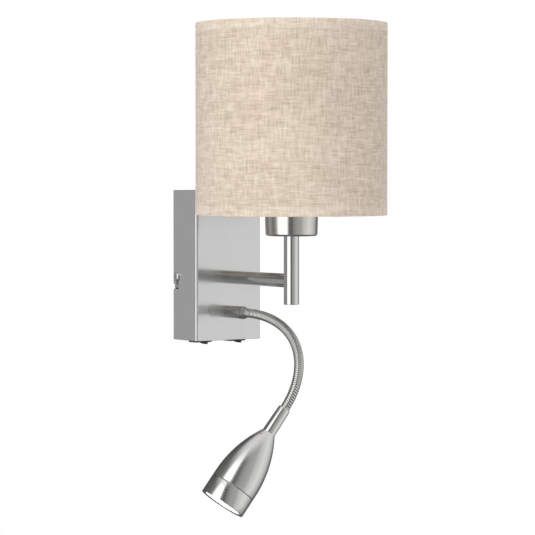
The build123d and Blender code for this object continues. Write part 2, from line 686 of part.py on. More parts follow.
def reading_arm_sleeve():
    """The straight tube at the wall end of the flexible arm, with its threaded tail."""
    sleeve = rod_y(SLEEVE_RADIUS, -COVER_DEPTH, -COVER_DEPTH - SLEEVE_LENGTH, z=READING_Z)
    sleeve = chamfer(sleeve.faces().sort_by(Axis.Y)[0].edges(), SLEEVE_BREAK)
    sleeve += rod_y(
        THREAD_RADIUS, COVER_FRONT_INSIDE + THREAD_INSIDE_COVER, -COVER_DEPTH, z=READING_Z
    )
    return sleeve - rod_y(THREAD_BORE_RADIUS, 0, FLEX_START_Y - PAST, z=READING_Z)


def reading_arm_collar():
    """The tapered collar that closes round the start of the flexible arm."""
    back = -COVER_DEPTH - SLEEVE_LENGTH
    collar = lathe(
        [
            (THREAD_BORE_RADIUS, 0), (SLEEVE_RADIUS - SLEEVE_BREAK, 0), (SLEEVE_RADIUS, SLEEVE_BREAK),
            (SLEEVE_RADIUS, COLLAR_BAND), (COLLAR_TIP_RADIUS, COLLAR_LENGTH),
            (THREAD_BORE_RADIUS, COLLAR_LENGTH),
        ]
    )
    return Pos(0, back, READING_Z) * Rot(90, 0, 0) * collar


# ---------------------------------------------------------------- flexible arm
def flex_share(link_end):
    """Share of the flexible arm's length at the end of that many links."""
    t = link_end / LINK_COUNT
    return t + LINK_TAPER * t * (1 - t)


def flex_turn(share):
    """Degrees turned from straight out of the wall, at a share of the length."""
    return FLEX_EVEN_TURN * share + FLEX_END_TURN * share**4


def flex_axes():
    """The bend plane's two directions, out of the wall and down, and its normal."""
    lean = radians(FLEX_LEAN)
    out = Vector(0, -1, 0)
    down = Vector(-sin(lean), 0, -cos(lean))
    return out, down, out.cross(down)


def flex_tangent(turn):
    """Direction of the arm after turning that many degrees."""
    out, down, _ = flex_axes()
    return out * cos(radians(turn)) + down * sin(radians(turn))


def flex_joints():
    """Each link end as (place, degrees turned), from the collar to the head."""
    place = Vector(0, FLEX_START_Y, READING_Z)
    ends = [(place, 0.0)]
    for link in range(1, LINK_COUNT + 1):
        before, after = flex_turn(flex_share(link - 1)), flex_turn(flex_share(link))
        length = FLEX_LENGTH * (flex_share(link) - flex_share(link - 1))
        half = radians(after - before) / 2
        place = place + flex_tangent((before + after) / 2) * (length * sin(half) / half)
        ends.append((place, after))
    return ends


def flex_plane(joint):
    """The frame at a link end: Z along the arm, X towards the inside of the bend."""
    place, turn = joint
    _, _, normal = flex_axes()
    along = flex_tangent(turn)
    return Plane(origin=place, x_dir=normal.cross(along), z_dir=along)


def flex_link(link):
    """One link of the flexible arm: a socket at its wall end and a ball at its head end."""
    joints = flex_joints()
    chord = joints[link][0] - joints[link - 1][0]
    length = chord.length
    first, last = link == 1, link == LINK_COUNT
    tail = stub_corners(TAIL_RADIUS, TAIL_GAP, -TAIL_LENGTH) if first else []
    nose = stub_corners(NOSE_RADIUS, length - NOSE_GAP, length + TAIL_LENGTH) if last else []
    bore, curves = FLEX_BORE_RADIUS, []
    if first:
        back, corners = (bore, 0, -TAIL_LENGTH), tail[::-1]
    else:
        back = (bore, 0, sqrt(SOCKET_RADIUS**2 - bore**2))
        lip = (sqrt(SOCKET_RADIUS**2 - SOCKET_LIP**2), 0, -SOCKET_LIP)
        curves.append(ThreePointArc(back, (SOCKET_RADIUS, 0, 0), lip))
        corners = [lip, (FLEX_RADIUS, 0, -SOCKET_LIP)]
    if last:
        front, corners = (bore, 0, length + TAIL_LENGTH), corners + nose
    else:
        front = (bore, 0, length + sqrt(BALL_RADIUS**2 - bore**2))
        throat = (BALL_NECK_RADIUS, 0, length - sqrt(BALL_RADIUS**2 - BALL_NECK_RADIUS**2))
        curves.append(ThreePointArc(throat, (BALL_RADIUS, 0, length), front))
        corners += [(FLEX_RADIUS, 0, length - LINK_GAP), (BALL_NECK_RADIUS, 0, length - LINK_GAP), throat]
    outline = [back] * first + corners + [front] * last
    lines = [Line(start, end) for start, end in zip(outline, outline[1:])]
    solid = revolve(make_face(lines + curves + [Line(front, back)]), Axis.Z)
    return Plane(origin=joints[link - 1][0], z_dir=chord).location * solid


def stub_corners(radius, shoulder, tip):
    """Corners of a narrower stub at a link's end, from its shoulder to its tip."""
    return [(FLEX_RADIUS, 0, shoulder), (radius, 0, shoulder), (radius, 0, tip)]


# ---------------------------------------------------------------- reading head
MOUTH_Z = NECK_LENGTH + HEAD_LENGTH
SEAM_Z = MOUTH_Z - BEZEL_LENGTH
SEAM_GAP = 0.3
OGIVE_Z = MOUTH_Z - OGIVE_START
NECK_BORE_RADIUS = 3.0
NECK_SPIGOT = (4.5, 6.0)  # radius and length of the neck's tail inside the casing
SPIGOT_LENGTH = 5.0  # of the casing's inner step that the bezel slides over
LENS_RADIUS = 19.8
LENS_THICKNESS = 2.0
LENS_GAP = 0.05
SEAL_THICKNESS = 1.2
SEAL_WIDTH = 1.6
BOARD_Z = MOUTH_Z - 19.0
BOARD_RADIUS = 15.0
BOARD_THICKNESS = 1.6
CHIP = (4.0, 1.0)  # radius and thickness
CORE_RADIUS = HEAD_RADIUS - 2 * HEAD_WALL - 0.1
CORE_PLATE = 3.0
CORE_LENGTH = 20.0
CORE_ROD_RADIUS = 5.0
CORE_BORE_RADIUS = 1.8
FIN_COUNT = 8
FIN_REACH = 12.5
FIN_THICKNESS = 1.2


def head_frame():
    """The head's own frame: origin at the flexible arm's end, Z towards the mouth."""
    return flex_plane(flex_joints()[-1]).location


def head_radius(z, wall=0.0):
    """Radius of the head's skin at a height in its own frame, less a wall."""
    rise = max(0.0, OGIVE_Z - z)
    return HEAD_RADIUS - wall - (OGIVE_RADIUS_OF_ARC - sqrt(OGIVE_RADIUS_OF_ARC**2 - rise**2))


def neck_sleeve():
    """The slightly tapered tube between the flexible arm and the head."""
    tail_radius, tail_length = NECK_SPIGOT
    tail_end = NECK_LENGTH + tail_length
    neck = lathe(
        [
            (NECK_BORE_RADIUS, 0), (NECK_TOP_RADIUS - 0.8, 0), (NECK_TOP_RADIUS, 1.0),
            (NECK_BOTTOM_RADIUS, NECK_LENGTH), (tail_radius, NECK_LENGTH), (tail_radius, tail_end),
            (NECK_BORE_RADIUS, tail_end),
        ]
    )
    return head_frame() * neck


def ogive_outline(wall, z_back, z_front):
    """The head's side as a line from back to front, on an arc and then straight."""
    middle = (z_back + OGIVE_Z) / 2
    curve = ThreePointArc(
        (head_radius(z_back, wall), 0, z_back),
        (head_radius(middle, wall), 0, middle),
        (head_radius(OGIVE_Z, wall), 0, OGIVE_Z),
    )
    straight = Line(curve @ 1, (HEAD_RADIUS - wall, 0, z_front))
    return curve + straight


def ogive_solid(wall, z_back, z_front):
    """The head's outer form, or its hollow, as a solid of revolution."""
    side = ogive_outline(wall, z_back, z_front)
    edges = side.edges() + [
        Line((0, 0, z_back), (head_radius(z_back, wall), 0, z_back)),
        Line((0, 0, z_front), (HEAD_RADIUS - wall, 0, z_front)),
        Line((0, 0, z_back), (0, 0, z_front)),
    ]
    return revolve(make_face(edges), Axis.Z)


def head_shell():
    """The bullet-shaped casing behind the seam."""
    shell = ogive_solid(0, NECK_LENGTH, SEAM_Z)
    shell -= ogive_solid(HEAD_WALL, NECK_LENGTH + 3, SEAM_Z + PAST)
    step_end = SEAM_Z + SPIGOT_LENGTH
    shell += rod_z(HEAD_RADIUS - HEAD_WALL, SEAM_Z - 3, step_end)
    shell -= rod_z(HEAD_RADIUS - 2 * HEAD_WALL, SEAM_Z - 3 - PAST, step_end + PAST)
    shell -= rod_z(NECK_SPIGOT[0] + 0.1, NECK_LENGTH - PAST, NECK_LENGTH + NECK_SPIGOT[1])
    return head_frame() * shell


def head_bezel():
    """The front ring that screws on the casing and holds the lens."""
    r, lens_z = HEAD_RADIUS, MOUTH_Z - LENS_DEPTH
    inner, back = r - HEAD_WALL + 0.1, SEAM_Z + SEAM_GAP
    bezel = lathe(
        [
            (inner, back), (r - SEAM_GAP, back), (r, back + SEAM_GAP), (r, MOUTH_Z - 0.6),
            (r - 0.4, MOUTH_Z), (r - 1.0, MOUTH_Z), (OPENING_RADIUS, lens_z), (inner, lens_z),
        ]
    )
    return head_frame() * bezel


def head_lens():
    """The clear front disc behind the bezel's lip."""
    front = MOUTH_Z - LENS_DEPTH - LENS_GAP
    return head_frame() * rod_z(LENS_RADIUS, front - LENS_THICKNESS, front)


def lens_seal():
    """The rubber ring behind the lens."""
    front = MOUTH_Z - LENS_DEPTH - 2 * LENS_GAP - LENS_THICKNESS
    back = front - SEAL_THICKNESS
    ring = rod_z(LENS_RADIUS, back, front) - rod_z(LENS_RADIUS - SEAL_WIDTH, back - PAST, front + PAST)
    return head_frame() * ring


def head_reflector():
    """The bright cone between the light-emitting chip and the lens."""
    front = MOUTH_Z - LENS_DEPTH - LENS_THICKNESS - SEAL_THICKNESS - 0.2
    low = BOARD_Z + BOARD_THICKNESS + 0.2
    cone = lathe(
        [(5.0, low), (6.0, low), (18.4, front - 1), (19.2, front - 1), (19.2, front), (17.6, front)]
    )
    return head_frame() * cone


def led_board():
    """The round circuit board with its light-emitting chip."""
    top = BOARD_Z + BOARD_THICKNESS
    chip_radius, chip_thickness = CHIP
    board = rod_z(BOARD_RADIUS, BOARD_Z, top) + rod_z(chip_radius, top, top + chip_thickness)
    return head_frame() * board


def heat_sink():
    """The finned aluminium core behind the board, held by the casing's spigot."""
    low = BOARD_Z - CORE_LENGTH
    sink = rod_z(CORE_RADIUS, BOARD_Z - CORE_PLATE, BOARD_Z) + rod_z(CORE_ROD_RADIUS, low, BOARD_Z)
    half = FIN_THICKNESS / 2
    blade = block(0, FIN_REACH, -half, half, low + 4, BOARD_Z - 1)
    for fin in range(FIN_COUNT):
        sink += Rot(0, 0, fin * 360 / FIN_COUNT) * blade
    return head_frame() * (sink - rod_z(CORE_BORE_RADIUS, low - PAST, BOARD_Z - CORE_PLATE - 1))


# ---------------------------------------------------------------- wires held inside the lamp
WIRE_RADIUS = 1.0
TAB_TOP_Z = COVER_BOTTOM_Z + SWITCH_BODY[2] + TAB_HEIGHT
TERMINAL_WIRE_Y = -BRACKET_THICKNESS - TERMINAL_DEPTH / 2
LAMP_WIRE_X = 1.3  # each side of the arm's middle
SUPPLY_BEND, LAMP_BEND, FEED_BEND, OUTPUT_BEND = 5.0, 2.6, 4.0, 3.4  # corner radii of the leads


def supply_wires():
    """The two live leads from the connector block down to the switches."""
    low = ARM_Z - TERMINAL_HALF_HEIGHT
    wires = []
    for side, pole in ((-1, -1), (1, 0)):
        x0, x1 = pole * POLE_PITCH, side * (SWITCH_X - TAB_OFFSET)
        wires.append(
            wire_run(
                [
                    (x0, TERMINAL_WIRE_Y, low + 2), (x0, TERMINAL_WIRE_Y, low - 7),
                    (x1, SWITCH_Y, TAB_TOP_Z + 8), (x1, SWITCH_Y, TAB_TOP_Z),
                ],
                WIRE_RADIUS, SUPPLY_BEND,
            )
        )
    return Compound(children=wires)


def lamp_wires():
    """The switched lead and the neutral, through the arm and up the post to the lampholder."""
    mouth_y = COVER_FRONT_INSIDE + THREAD_INSIDE_COVER + 6
    through = [(0, POST_Y, ARM_Z), (0, POST_Y, HOLDER_FLOOR_Z + 12)]
    tab_x = -SWITCH_X - TAB_OFFSET
    switched = [
        (tab_x, SWITCH_Y, TAB_TOP_Z), (tab_x, SWITCH_Y, -28), (-14, mouth_y, ARM_Z - 4),
        (-8, mouth_y, ARM_Z), (-LAMP_WIRE_X, mouth_y, ARM_Z),
    ]
    switched += [(-LAMP_WIRE_X, y, z) for _, y, z in through]
    pole_top = ARM_Z + TERMINAL_HALF_HEIGHT
    neutral = [
        (POLE_PITCH, TERMINAL_WIRE_Y, pole_top - 2), (POLE_PITCH, TERMINAL_WIRE_Y, pole_top + 6),
        (POLE_PITCH, mouth_y, pole_top + 6), (POLE_PITCH, mouth_y, ARM_Z), (LAMP_WIRE_X, mouth_y, ARM_Z),
    ]
    neutral += [(LAMP_WIRE_X, y, z) for _, y, z in through]
    return Compound(children=[wire_run(run, WIRE_RADIUS, LAMP_BEND) for run in (switched, neutral)])


def led_wires():
    """The driver's feed from its switch, and its output into the reading arm."""
    driver_low = DRIVER_BOX[4]
    feed = [
        (SWITCH_X + TAB_OFFSET, SWITCH_Y, TAB_TOP_Z), (SWITCH_X + TAB_OFFSET, SWITCH_Y, TAB_TOP_Z + 8),
        (31, -24, -30), (31, -24, 2), (22, -27, driver_low - 5), (22, -27, driver_low),
    ]
    out_y = COVER_FRONT_INSIDE + THREAD_INSIDE_COVER + 5
    output = [
        (16, -31, driver_low), (16, -31, 4), (16, out_y, -6), (16, out_y, READING_Z + 8),
        (7, out_y, READING_Z), (0, out_y, READING_Z), (0, FLEX_START_Y, READING_Z),
    ]
    return Compound(
        children=[wire_run(feed, WIRE_RADIUS, FEED_BEND), wire_run(output, WIRE_RADIUS, OUTPUT_BEND)]
    )


# ---------------------------------------------------------------- writing the parts
def all_parts():
    """Every sub-part by name."""
    parts = {
        "wall_bracket": wall_bracket(),
        "cable_grommet": cable_grommet(),
        "earth_screw": earth_screw(),
        "terminal_block": terminal_block(),
        "terminal_screws": terminal_screws(),
        "led_driver": led_driver(),
        "cover_box": cover_box(),
        "cover_screws": cover_screws(),
        "lamp_switch_body": switch_body(-1),
        "reading_switch_body": switch_body(1),
        "lamp_switch_rocker": rocker(-1),
        "reading_switch_rocker": rocker(1),
        "switch_tabs": switch_tabs(),
        "panel_nuts": panel_nuts(),
        "panel_washers": panel_washers(),
        "arm_threaded_tube": arm_threaded_tube(),
        "arm_tube": arm_tube(),
        "post_tube": post_tube(),
        "post_end_plug": post_end_plug(),
        "post_top_bush": post_top_bush(),
        "holder_nipple": holder_nipple(),
        "holder_cup": holder_cup(),
        "lampholder_shell": lampholder_shell(),
        "lampholder_screw_shell": lampholder_screw_shell(),
        "lampholder_contact": lampholder_contact(),
        "shade_ring_nut": shade_ring_nut(),
        "shade_carrier": shade_carrier(),
        "shade_top_ring": shade_top_ring(),
        "shade_fabric": shade_fabric(),
        "shade_liner": shade_liner(),
        "bulb_cap": bulb_cap(),
        "bulb_collar": bulb_collar(),
        "bulb_globe": bulb_globe(),
        "reading_arm_sleeve": reading_arm_sleeve(),
        "reading_arm_collar": reading_arm_collar(),
        "neck_sleeve": neck_sleeve(),
        "head_shell": head_shell(),
        "head_bezel": head_bezel(),
        "head_lens": head_lens(),
        "lens_seal": lens_seal(),
        "head_reflector": head_reflector(),
        "led_board": led_board(),
        "heat_sink": heat_sink(),
        "supply_wires": supply_wires(),
        "lamp_wires": lamp_wires(),
        "led_wires": led_wires(),
    }
    for link in range(1, LINK_COUNT + 1):
        parts[f"flex_link_{link:02d}"] = flex_link(link)
    return parts


def write_parts():
    """Writes one STEP file for each sub-part."""
    os.makedirs("parts", exist_ok=True)
    for name, shape in all_parts().items():
        export_step(shape, f"parts/{name}.step")


write_parts()
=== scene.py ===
"""Wall lamp with a linen drum shade and a flexible reading arm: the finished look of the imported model.

Every length is in metres, in the model's own frame: the origin on the wall at the centre of the
cover's back rim, +X along the wall, +Y into the wall and +Z up.
"""

from __future__ import annotations

import json
import logging
import math
from dataclasses import dataclass, field
from enum import Enum
from typing import Callable, Sequence

import bpy
from mathutils import Matrix, Vector

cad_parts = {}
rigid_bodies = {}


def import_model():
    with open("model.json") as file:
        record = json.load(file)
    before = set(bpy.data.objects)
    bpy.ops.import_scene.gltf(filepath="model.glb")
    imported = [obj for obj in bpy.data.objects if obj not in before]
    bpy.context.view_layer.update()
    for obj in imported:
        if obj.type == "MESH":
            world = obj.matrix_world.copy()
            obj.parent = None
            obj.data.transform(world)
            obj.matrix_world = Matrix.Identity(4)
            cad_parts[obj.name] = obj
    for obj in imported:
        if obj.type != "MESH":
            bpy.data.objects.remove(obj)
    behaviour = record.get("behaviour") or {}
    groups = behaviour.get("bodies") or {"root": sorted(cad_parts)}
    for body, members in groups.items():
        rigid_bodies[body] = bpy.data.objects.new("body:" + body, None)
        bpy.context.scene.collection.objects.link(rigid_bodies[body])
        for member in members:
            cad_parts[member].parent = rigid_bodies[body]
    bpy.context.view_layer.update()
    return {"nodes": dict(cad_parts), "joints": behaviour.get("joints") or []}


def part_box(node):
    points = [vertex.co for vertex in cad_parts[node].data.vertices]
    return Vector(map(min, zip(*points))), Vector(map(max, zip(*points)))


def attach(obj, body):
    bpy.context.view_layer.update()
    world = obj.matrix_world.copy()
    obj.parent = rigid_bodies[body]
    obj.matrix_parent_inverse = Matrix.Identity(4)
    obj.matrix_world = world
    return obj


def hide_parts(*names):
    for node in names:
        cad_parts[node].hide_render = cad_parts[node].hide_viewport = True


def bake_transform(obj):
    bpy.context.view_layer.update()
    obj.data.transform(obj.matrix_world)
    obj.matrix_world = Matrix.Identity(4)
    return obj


LOG = logging.getLogger("wall_lamp")

Ring = tuple[float, float]
MM = 0.001
ROUND = 96  # sides of a turned piece
SMOOTH_ANGLE = math.radians(32)
NEAR = 1e-5  # two places closer than this are one
WHITE = (1, 1, 1, 1)


class Ends(Enum):
    """How the two ends of a turned outline are closed."""

    CAPPED = "capped"
    JOINED = "joined"
    OPEN = "open"


# ------------------------------------------------------------------ modelling at the bench
def deselect() -> None:
    """Leaves edit mode and deselects every object."""
    active = bpy.context.view_layer.objects.active
    if active is not None and active.mode != "OBJECT":
        bpy.ops.object.mode_set(mode="OBJECT")
    bpy.ops.object.select_all(action="DESELECT")


def pick(piece: bpy.types.Object) -> None:
    """Makes one object the active and only selected one."""
    deselect()
    piece.select_set(True)
    bpy.context.view_layer.objects.active = piece


def arc(middle: Ring, radius: float, start: float, end: float, steps: int = 5) -> list[Ring]:
    """Points on an arc of a turned outline.

    Args:
        middle: The arc's centre as (distance from the axis, height).
        radius: The arc's radius.
        start: Angle of the first point in degrees, from straight out, turning upwards.
        end: Angle of the last point in degrees.
        steps: Number of spans.

    Returns:
        The points as (distance from the axis, height).
    """
    turns = [math.radians(start + (end - start) * i / steps) for i in range(steps + 1)]
    return [(middle[0] + radius * math.cos(t), middle[1] + radius * math.sin(t)) for t in turns]


def turned(name: str, rings: Sequence[Ring], ends: Ends = Ends.CAPPED, sides: int = ROUND) -> bpy.types.Object:
    """Turns a shape about +Z, ring by ring, as an extruded and scaled circle.

    Args:
        name: The piece's name.
        rings: The outline as (radius, height), all radii above zero.
        ends: How the first and last rings are closed.
        sides: Number of sides.

    Returns:
        The new object, in object mode, smooth between its hard edges.
    """
    deselect()
    radius, height = rings[0]
    bpy.ops.mesh.primitive_circle_add(vertices=sides, radius=radius, location=(0, 0, 0))
    piece = bpy.context.object
    piece.name = name
    bpy.ops.object.mode_set(mode="EDIT")
    bpy.ops.mesh.select_all(action="SELECT")
    bpy.ops.transform.translate(value=(0, 0, height))
    for wide, high in rings[1:]:
        bpy.ops.mesh.extrude_edges_move(TRANSFORM_OT_translate={"value": (0, 0, high - height)})
        bpy.ops.transform.resize(value=(wide / radius, wide / radius, 1), center_override=(0, 0, high))
        radius, height = wide, high
    if ends is not Ends.OPEN:
        bpy.ops.mesh.select_mode(type="EDGE")
        bpy.ops.mesh.select_all(action="DESELECT")
        bpy.ops.mesh.select_non_manifold()
        if ends is Ends.JOINED:
            bpy.ops.mesh.bridge_edge_loops()
        else:
            bpy.ops.mesh.fill_holes(sides=0)
    bpy.ops.mesh.select_all(action="SELECT")
    bpy.ops.mesh.normals_make_consistent(inside=False)
    bpy.ops.object.mode_set(mode="OBJECT")
    soften(piece)
    return piece


def soften(piece: bpy.types.Object, angle: float = SMOOTH_ANGLE) -> None:
    """Shades a piece smooth, except across edges sharper than the angle."""
    pick(piece)
    bpy.ops.object.shade_smooth_by_angle(angle=angle)


def block(name: str, low: Vector, high: Vector) -> bpy.types.Object:
    """Adds a box between two corners, with its place in its mesh."""
    deselect()
    bpy.ops.mesh.primitive_cube_add(size=1, location=(0, 0, 0))
    piece = bpy.context.object
    piece.name = name
    size, middle = high - low, (low + high) / 2
    piece.data.transform(Matrix.Translation(middle) @ Matrix.Diagonal((*size, 1)))
    return piece


def choose_edges(piece: bpy.types.Object, wanted: Callable[[Vector, Vector], bool]) -> None:
    """Enters edit mode with the edges selected whose two ends pass a test."""
    pick(piece)
    bpy.ops.object.mode_set(mode="EDIT")
    bpy.ops.mesh.select_mode(type="EDGE")
    bpy.ops.mesh.select_all(action="DESELECT")
    bpy.ops.object.mode_set(mode="OBJECT")
    points = piece.data.vertices
    for edge in piece.data.edges:
        edge.select = wanted(points[edge.vertices[0]].co, points[edge.vertices[1]].co)
    bpy.ops.object.mode_set(mode="EDIT")


def choose_faces(piece: bpy.types.Object, wanted: Callable[[Vector, Vector], bool]) -> None:
    """Enters edit mode with the faces selected whose centre and normal pass a test."""
    pick(piece)
    bpy.ops.object.mode_set(mode="EDIT")
    bpy.ops.mesh.select_mode(type="FACE")
    bpy.ops.mesh.select_all(action="DESELECT")
    bpy.ops.object.mode_set(mode="OBJECT")
    for face in piece.data.polygons:
        face.select = wanted(face.center, face.normal)
    bpy.ops.object.mode_set(mode="EDIT")


def apply(piece: bpy.types.Object, kind: str, **settings: object) -> None:
    """Adds a modifier with its settings and applies it."""
    pick(piece)
    modifier = piece.modifiers.new(kind.title(), kind)
    for key, value in settings.items():
        setattr(modifier, key, value)
    bpy.ops.object.modifier_apply(modifier=modifier.name)


def carve(piece: bpy.types.Object, cutter: bpy.types.Object) -> None:
    """Takes the cutter's shape out of a piece and throws the cutter away."""
    apply(piece, "BOOLEAN", object=cutter, operation="DIFFERENCE", solver="EXACT")
    bpy.data.objects.remove(cutter)


def join(pieces: Sequence[bpy.types.Object]) -> bpy.types.Object:
    """Joins pieces into the first one and returns it."""
    deselect()
    for piece in pieces:
        piece.select_set(True)
    bpy.context.view_layer.objects.active = pieces[0]
    bpy.ops.object.join()
    return pieces[0]


def remember_shape(piece: bpy.types.Object) -> None:
    """Keeps each point's place on the bench as the piece's own attribute, which its finish follows."""
    count = len(piece.data.vertices)
    places = [0.0] * (3 * count)
    piece.data.vertices.foreach_get("co", places)
    own = piece.data.attributes.new("own", "FLOAT_VECTOR", "POINT")
    own.data.foreach_set("vector", places)


def upright(x: float = 0.0, y: float = 0.0) -> Matrix:
    """The place of a piece that stands on a vertical axis."""
    return Matrix.Translation((x, y, 0))


def outwards(y: float, z: float) -> Matrix:
    """The place of a piece that points out of the wall, its own +Z along -Y."""
    return Matrix.Translation((0, y, z)) @ Matrix.Rotation(math.radians(90), 4, "X")


@dataclass
class Fitter:
    """Puts finished pieces on the lamp."""

    paints: dict[str, bpy.types.Material]
    count: int = 0

    def fit(
        self,
        piece: bpy.types.Object,
        paint: str,
        slot: str,
        body: str = "lamp",
        place: Matrix | None = None,
        replaces: Sequence[str] = (),
    ) -> bpy.types.Object:
        """Gives a piece its finish and place, and fixes it to a body.

        Args:
            piece: The piece as made on the bench.
            paint: The name of its finish.
            slot: The record's material slot; not used.
            body: The body that it moves with, or nothing, which leaves it unattached.
            place: Where its bench frame lies on the lamp.
            replaces: The nodes that it stands for.

        Returns:
            The same piece.
        """
        remember_shape(piece)
        if place is not None:
            piece.data.transform(place)
        piece.data.materials.clear()
        piece.data.materials.append(self.paints[paint])
        piece.data.name = piece.name
        if body:
            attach(piece, body)
        if replaces:
            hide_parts(*replaces)
        self.count += 1
        LOG.info("%s: %d faces, %s", piece.name, len(piece.data.polygons), paint)
        return piece


# ------------------------------------------------------------------ finishes
@dataclass
class Nodes:
    """A short way to write the node tree of a material or the world."""

    owner: bpy.types.Material | bpy.types.World

    def __post_init__(self) -> None:
        """Gives the owner its node tree."""
        self.owner.use_nodes = True

    def add(self, kind: str, links: dict[str | int, object] | None = None, **settings: object) -> bpy.types.Node:
        """Adds a node.

        Args:
            kind: The node's type without its ShaderNode prefix.
            links: Values or other sockets for its inputs.
            settings: Its properties.

        Returns:
            The node.
        """
        node = self.owner.node_tree.nodes.new("ShaderNode" + kind)
        for key, value in settings.items():
            setattr(node, key, value)
        for key, value in (links or {}).items():
            self.set(node.inputs[key], value)
        return node

    def set(self, socket: bpy.types.NodeSocket, value: object) -> None:
        """Gives a socket a value, or links another socket to it."""
        if isinstance(value, bpy.types.NodeSocket):
            self.owner.node_tree.links.new(value, socket)
        else:
            socket.default_value = value

    def finish(self, **values: object) -> bpy.types.Material:
        """Sets the shader's sockets, written with underscores, and returns the material."""
        shader = self.owner.node_tree.nodes["Principled BSDF"]
        for key, value in values.items():
            self.set(shader.inputs[key.replace("_", " ")], value)
        return self.owner

    def place(self, scale: Sequence[float], own: bool, offset: Sequence[float] = (0, 0, 0)) -> bpy.types.NodeSocket:
        """The point being shaded, scaled, from the piece's own attribute or from object space."""
        if own:
            source = self.add("Attribute", attribute_name="own").outputs["Vector"]
        else:
            source = self.add("TexCoord").outputs["Object"]
        mapping = self.add("Mapping", {"Vector": source, "Location": offset, "Scale": scale})
        return mapping.outputs[0]

    def noise(self, where: bpy.types.NodeSocket, scale: float = 1.0, detail: float = 2.0) -> bpy.types.NodeSocket:
        """A noise value from 0 to 1."""
        return self.add("TexNoise", {"Vector": where, "Scale": scale, "Detail": detail}).outputs["Fac"]

    def span(
        self, value: bpy.types.NodeSocket, low: float, high: float, inside: Ring = (0.3, 0.7)
    ) -> bpy.types.NodeSocket:
        """Maps a value from one range to another."""
        links = {"Value": value, "From Min": inside[0], "From Max": inside[1], "To Min": low, "To Max": high}
        return self.add("MapRange", links).outputs["Result"]

    def fade(
        self, value: object, start: float, end: float, low: float = 0.0, high: float = 1.0
    ) -> bpy.types.NodeSocket:
        """Eases from low to high as a value goes from start to end."""
        links = {"Value": value, "From Min": start, "From Max": end, "To Min": low, "To Max": high}
        return self.add("MapRange", links, interpolation_type="SMOOTHSTEP").outputs["Result"]

    def sum(self, first: object, second: object, operation: str = "ADD") -> bpy.types.NodeSocket:
        """Two values put together by arithmetic."""
        return self.add("Math", {0: first, 1: second}, operation=operation).outputs[0]

    def ramp(self, value: bpy.types.NodeSocket, stops: Sequence[tuple[float, Sequence[float]]]) -> bpy.types.NodeSocket:
        """A colour from a value, by stops of (value, colour)."""
        node = self.add("ValToRGB", {"Fac": value})
        elements = node.color_ramp.elements
        while len(elements) < len(stops):
            elements.new(0.5)
        for element, (at, colour) in zip(elements, stops):
            element.position = at
            element.color = (*colour, 1)
        return node.outputs["Color"]

    def bump(self, height: bpy.types.NodeSocket, distance: float, strength: float = 1.0) -> bpy.types.NodeSocket:
        """A surface normal from a height."""
        links = {"Height": height, "Distance": distance, "Strength": strength}
        return self.add("Bump", links).outputs["Normal"]


def shade_of(colour: Sequence[float], factor: float) -> tuple[float, float, float]:
    """A colour made lighter or darker."""
    return tuple(min(1.0, c * factor) for c in colour)


@dataclass(frozen=True)
class BrushedMetal:
    """Plated metal with fine brush lines that run one way, and faint handling marks."""

    colour: tuple[float, float, float]
    roughness: float
    lines: tuple[float, float, float]  # brush lines to the metre, along the piece's own X, Y and Z
    depth: float = 0.000004
    metallic: float = 1.0

    def mix(self, name: str) -> bpy.types.Material:
        """Makes the material."""
        nodes = Nodes(bpy.data.materials.new(name))
        strokes = nodes.noise(nodes.place(self.lines, own=True), detail=3)
        cloud = nodes.noise(nodes.place((28, 28, 28), own=True), detail=3)
        tone = nodes.sum(nodes.span(strokes, 0.0, 0.7), nodes.span(cloud, 0.0, 0.3))
        colour = nodes.ramp(tone, [(0.0, shade_of(self.colour, 0.93)), (1.0, shade_of(self.colour, 1.06))])
        rough = nodes.sum(nodes.span(strokes, -0.05, 0.05), nodes.span(cloud, -0.02, 0.03))
        return nodes.finish(
            Base_Color=colour,
            Metallic=self.metallic,
            Roughness=nodes.sum(rough, self.roughness),
            Normal=nodes.bump(strokes, self.depth),
        )


@dataclass(frozen=True)
class CastSurface:
    """Plastic, rubber or plain metal with a fine grain and slight unevenness."""

    colour: tuple[float, float, float]
    roughness: float
    metallic: float = 0.0
    grain: float = 1800.0  # grains to the metre
    depth: float = 0.00001
    variation: float = 0.05

    def mix(self, name: str) -> bpy.types.Material:
        """Makes the material."""
        nodes = Nodes(bpy.data.materials.new(name))
        fine = nodes.noise(nodes.place((self.grain,) * 3, own=False))
        broad = nodes.noise(nodes.place((60, 60, 60), own=False), detail=4)
        low, high = shade_of(self.colour, 1 - self.variation), shade_of(self.colour, 1 + self.variation)
        tone = nodes.sum(nodes.span(fine, 0.0, 0.5), nodes.span(broad, 0.0, 0.5))
        return nodes.finish(
            Base_Color=nodes.ramp(tone, [(0.0, low), (1.0, high)]),
            Metallic=self.metallic,
            Roughness=nodes.span(broad, self.roughness - 0.04, self.roughness + 0.06),
            Normal=nodes.bump(fine, self.depth),
        )


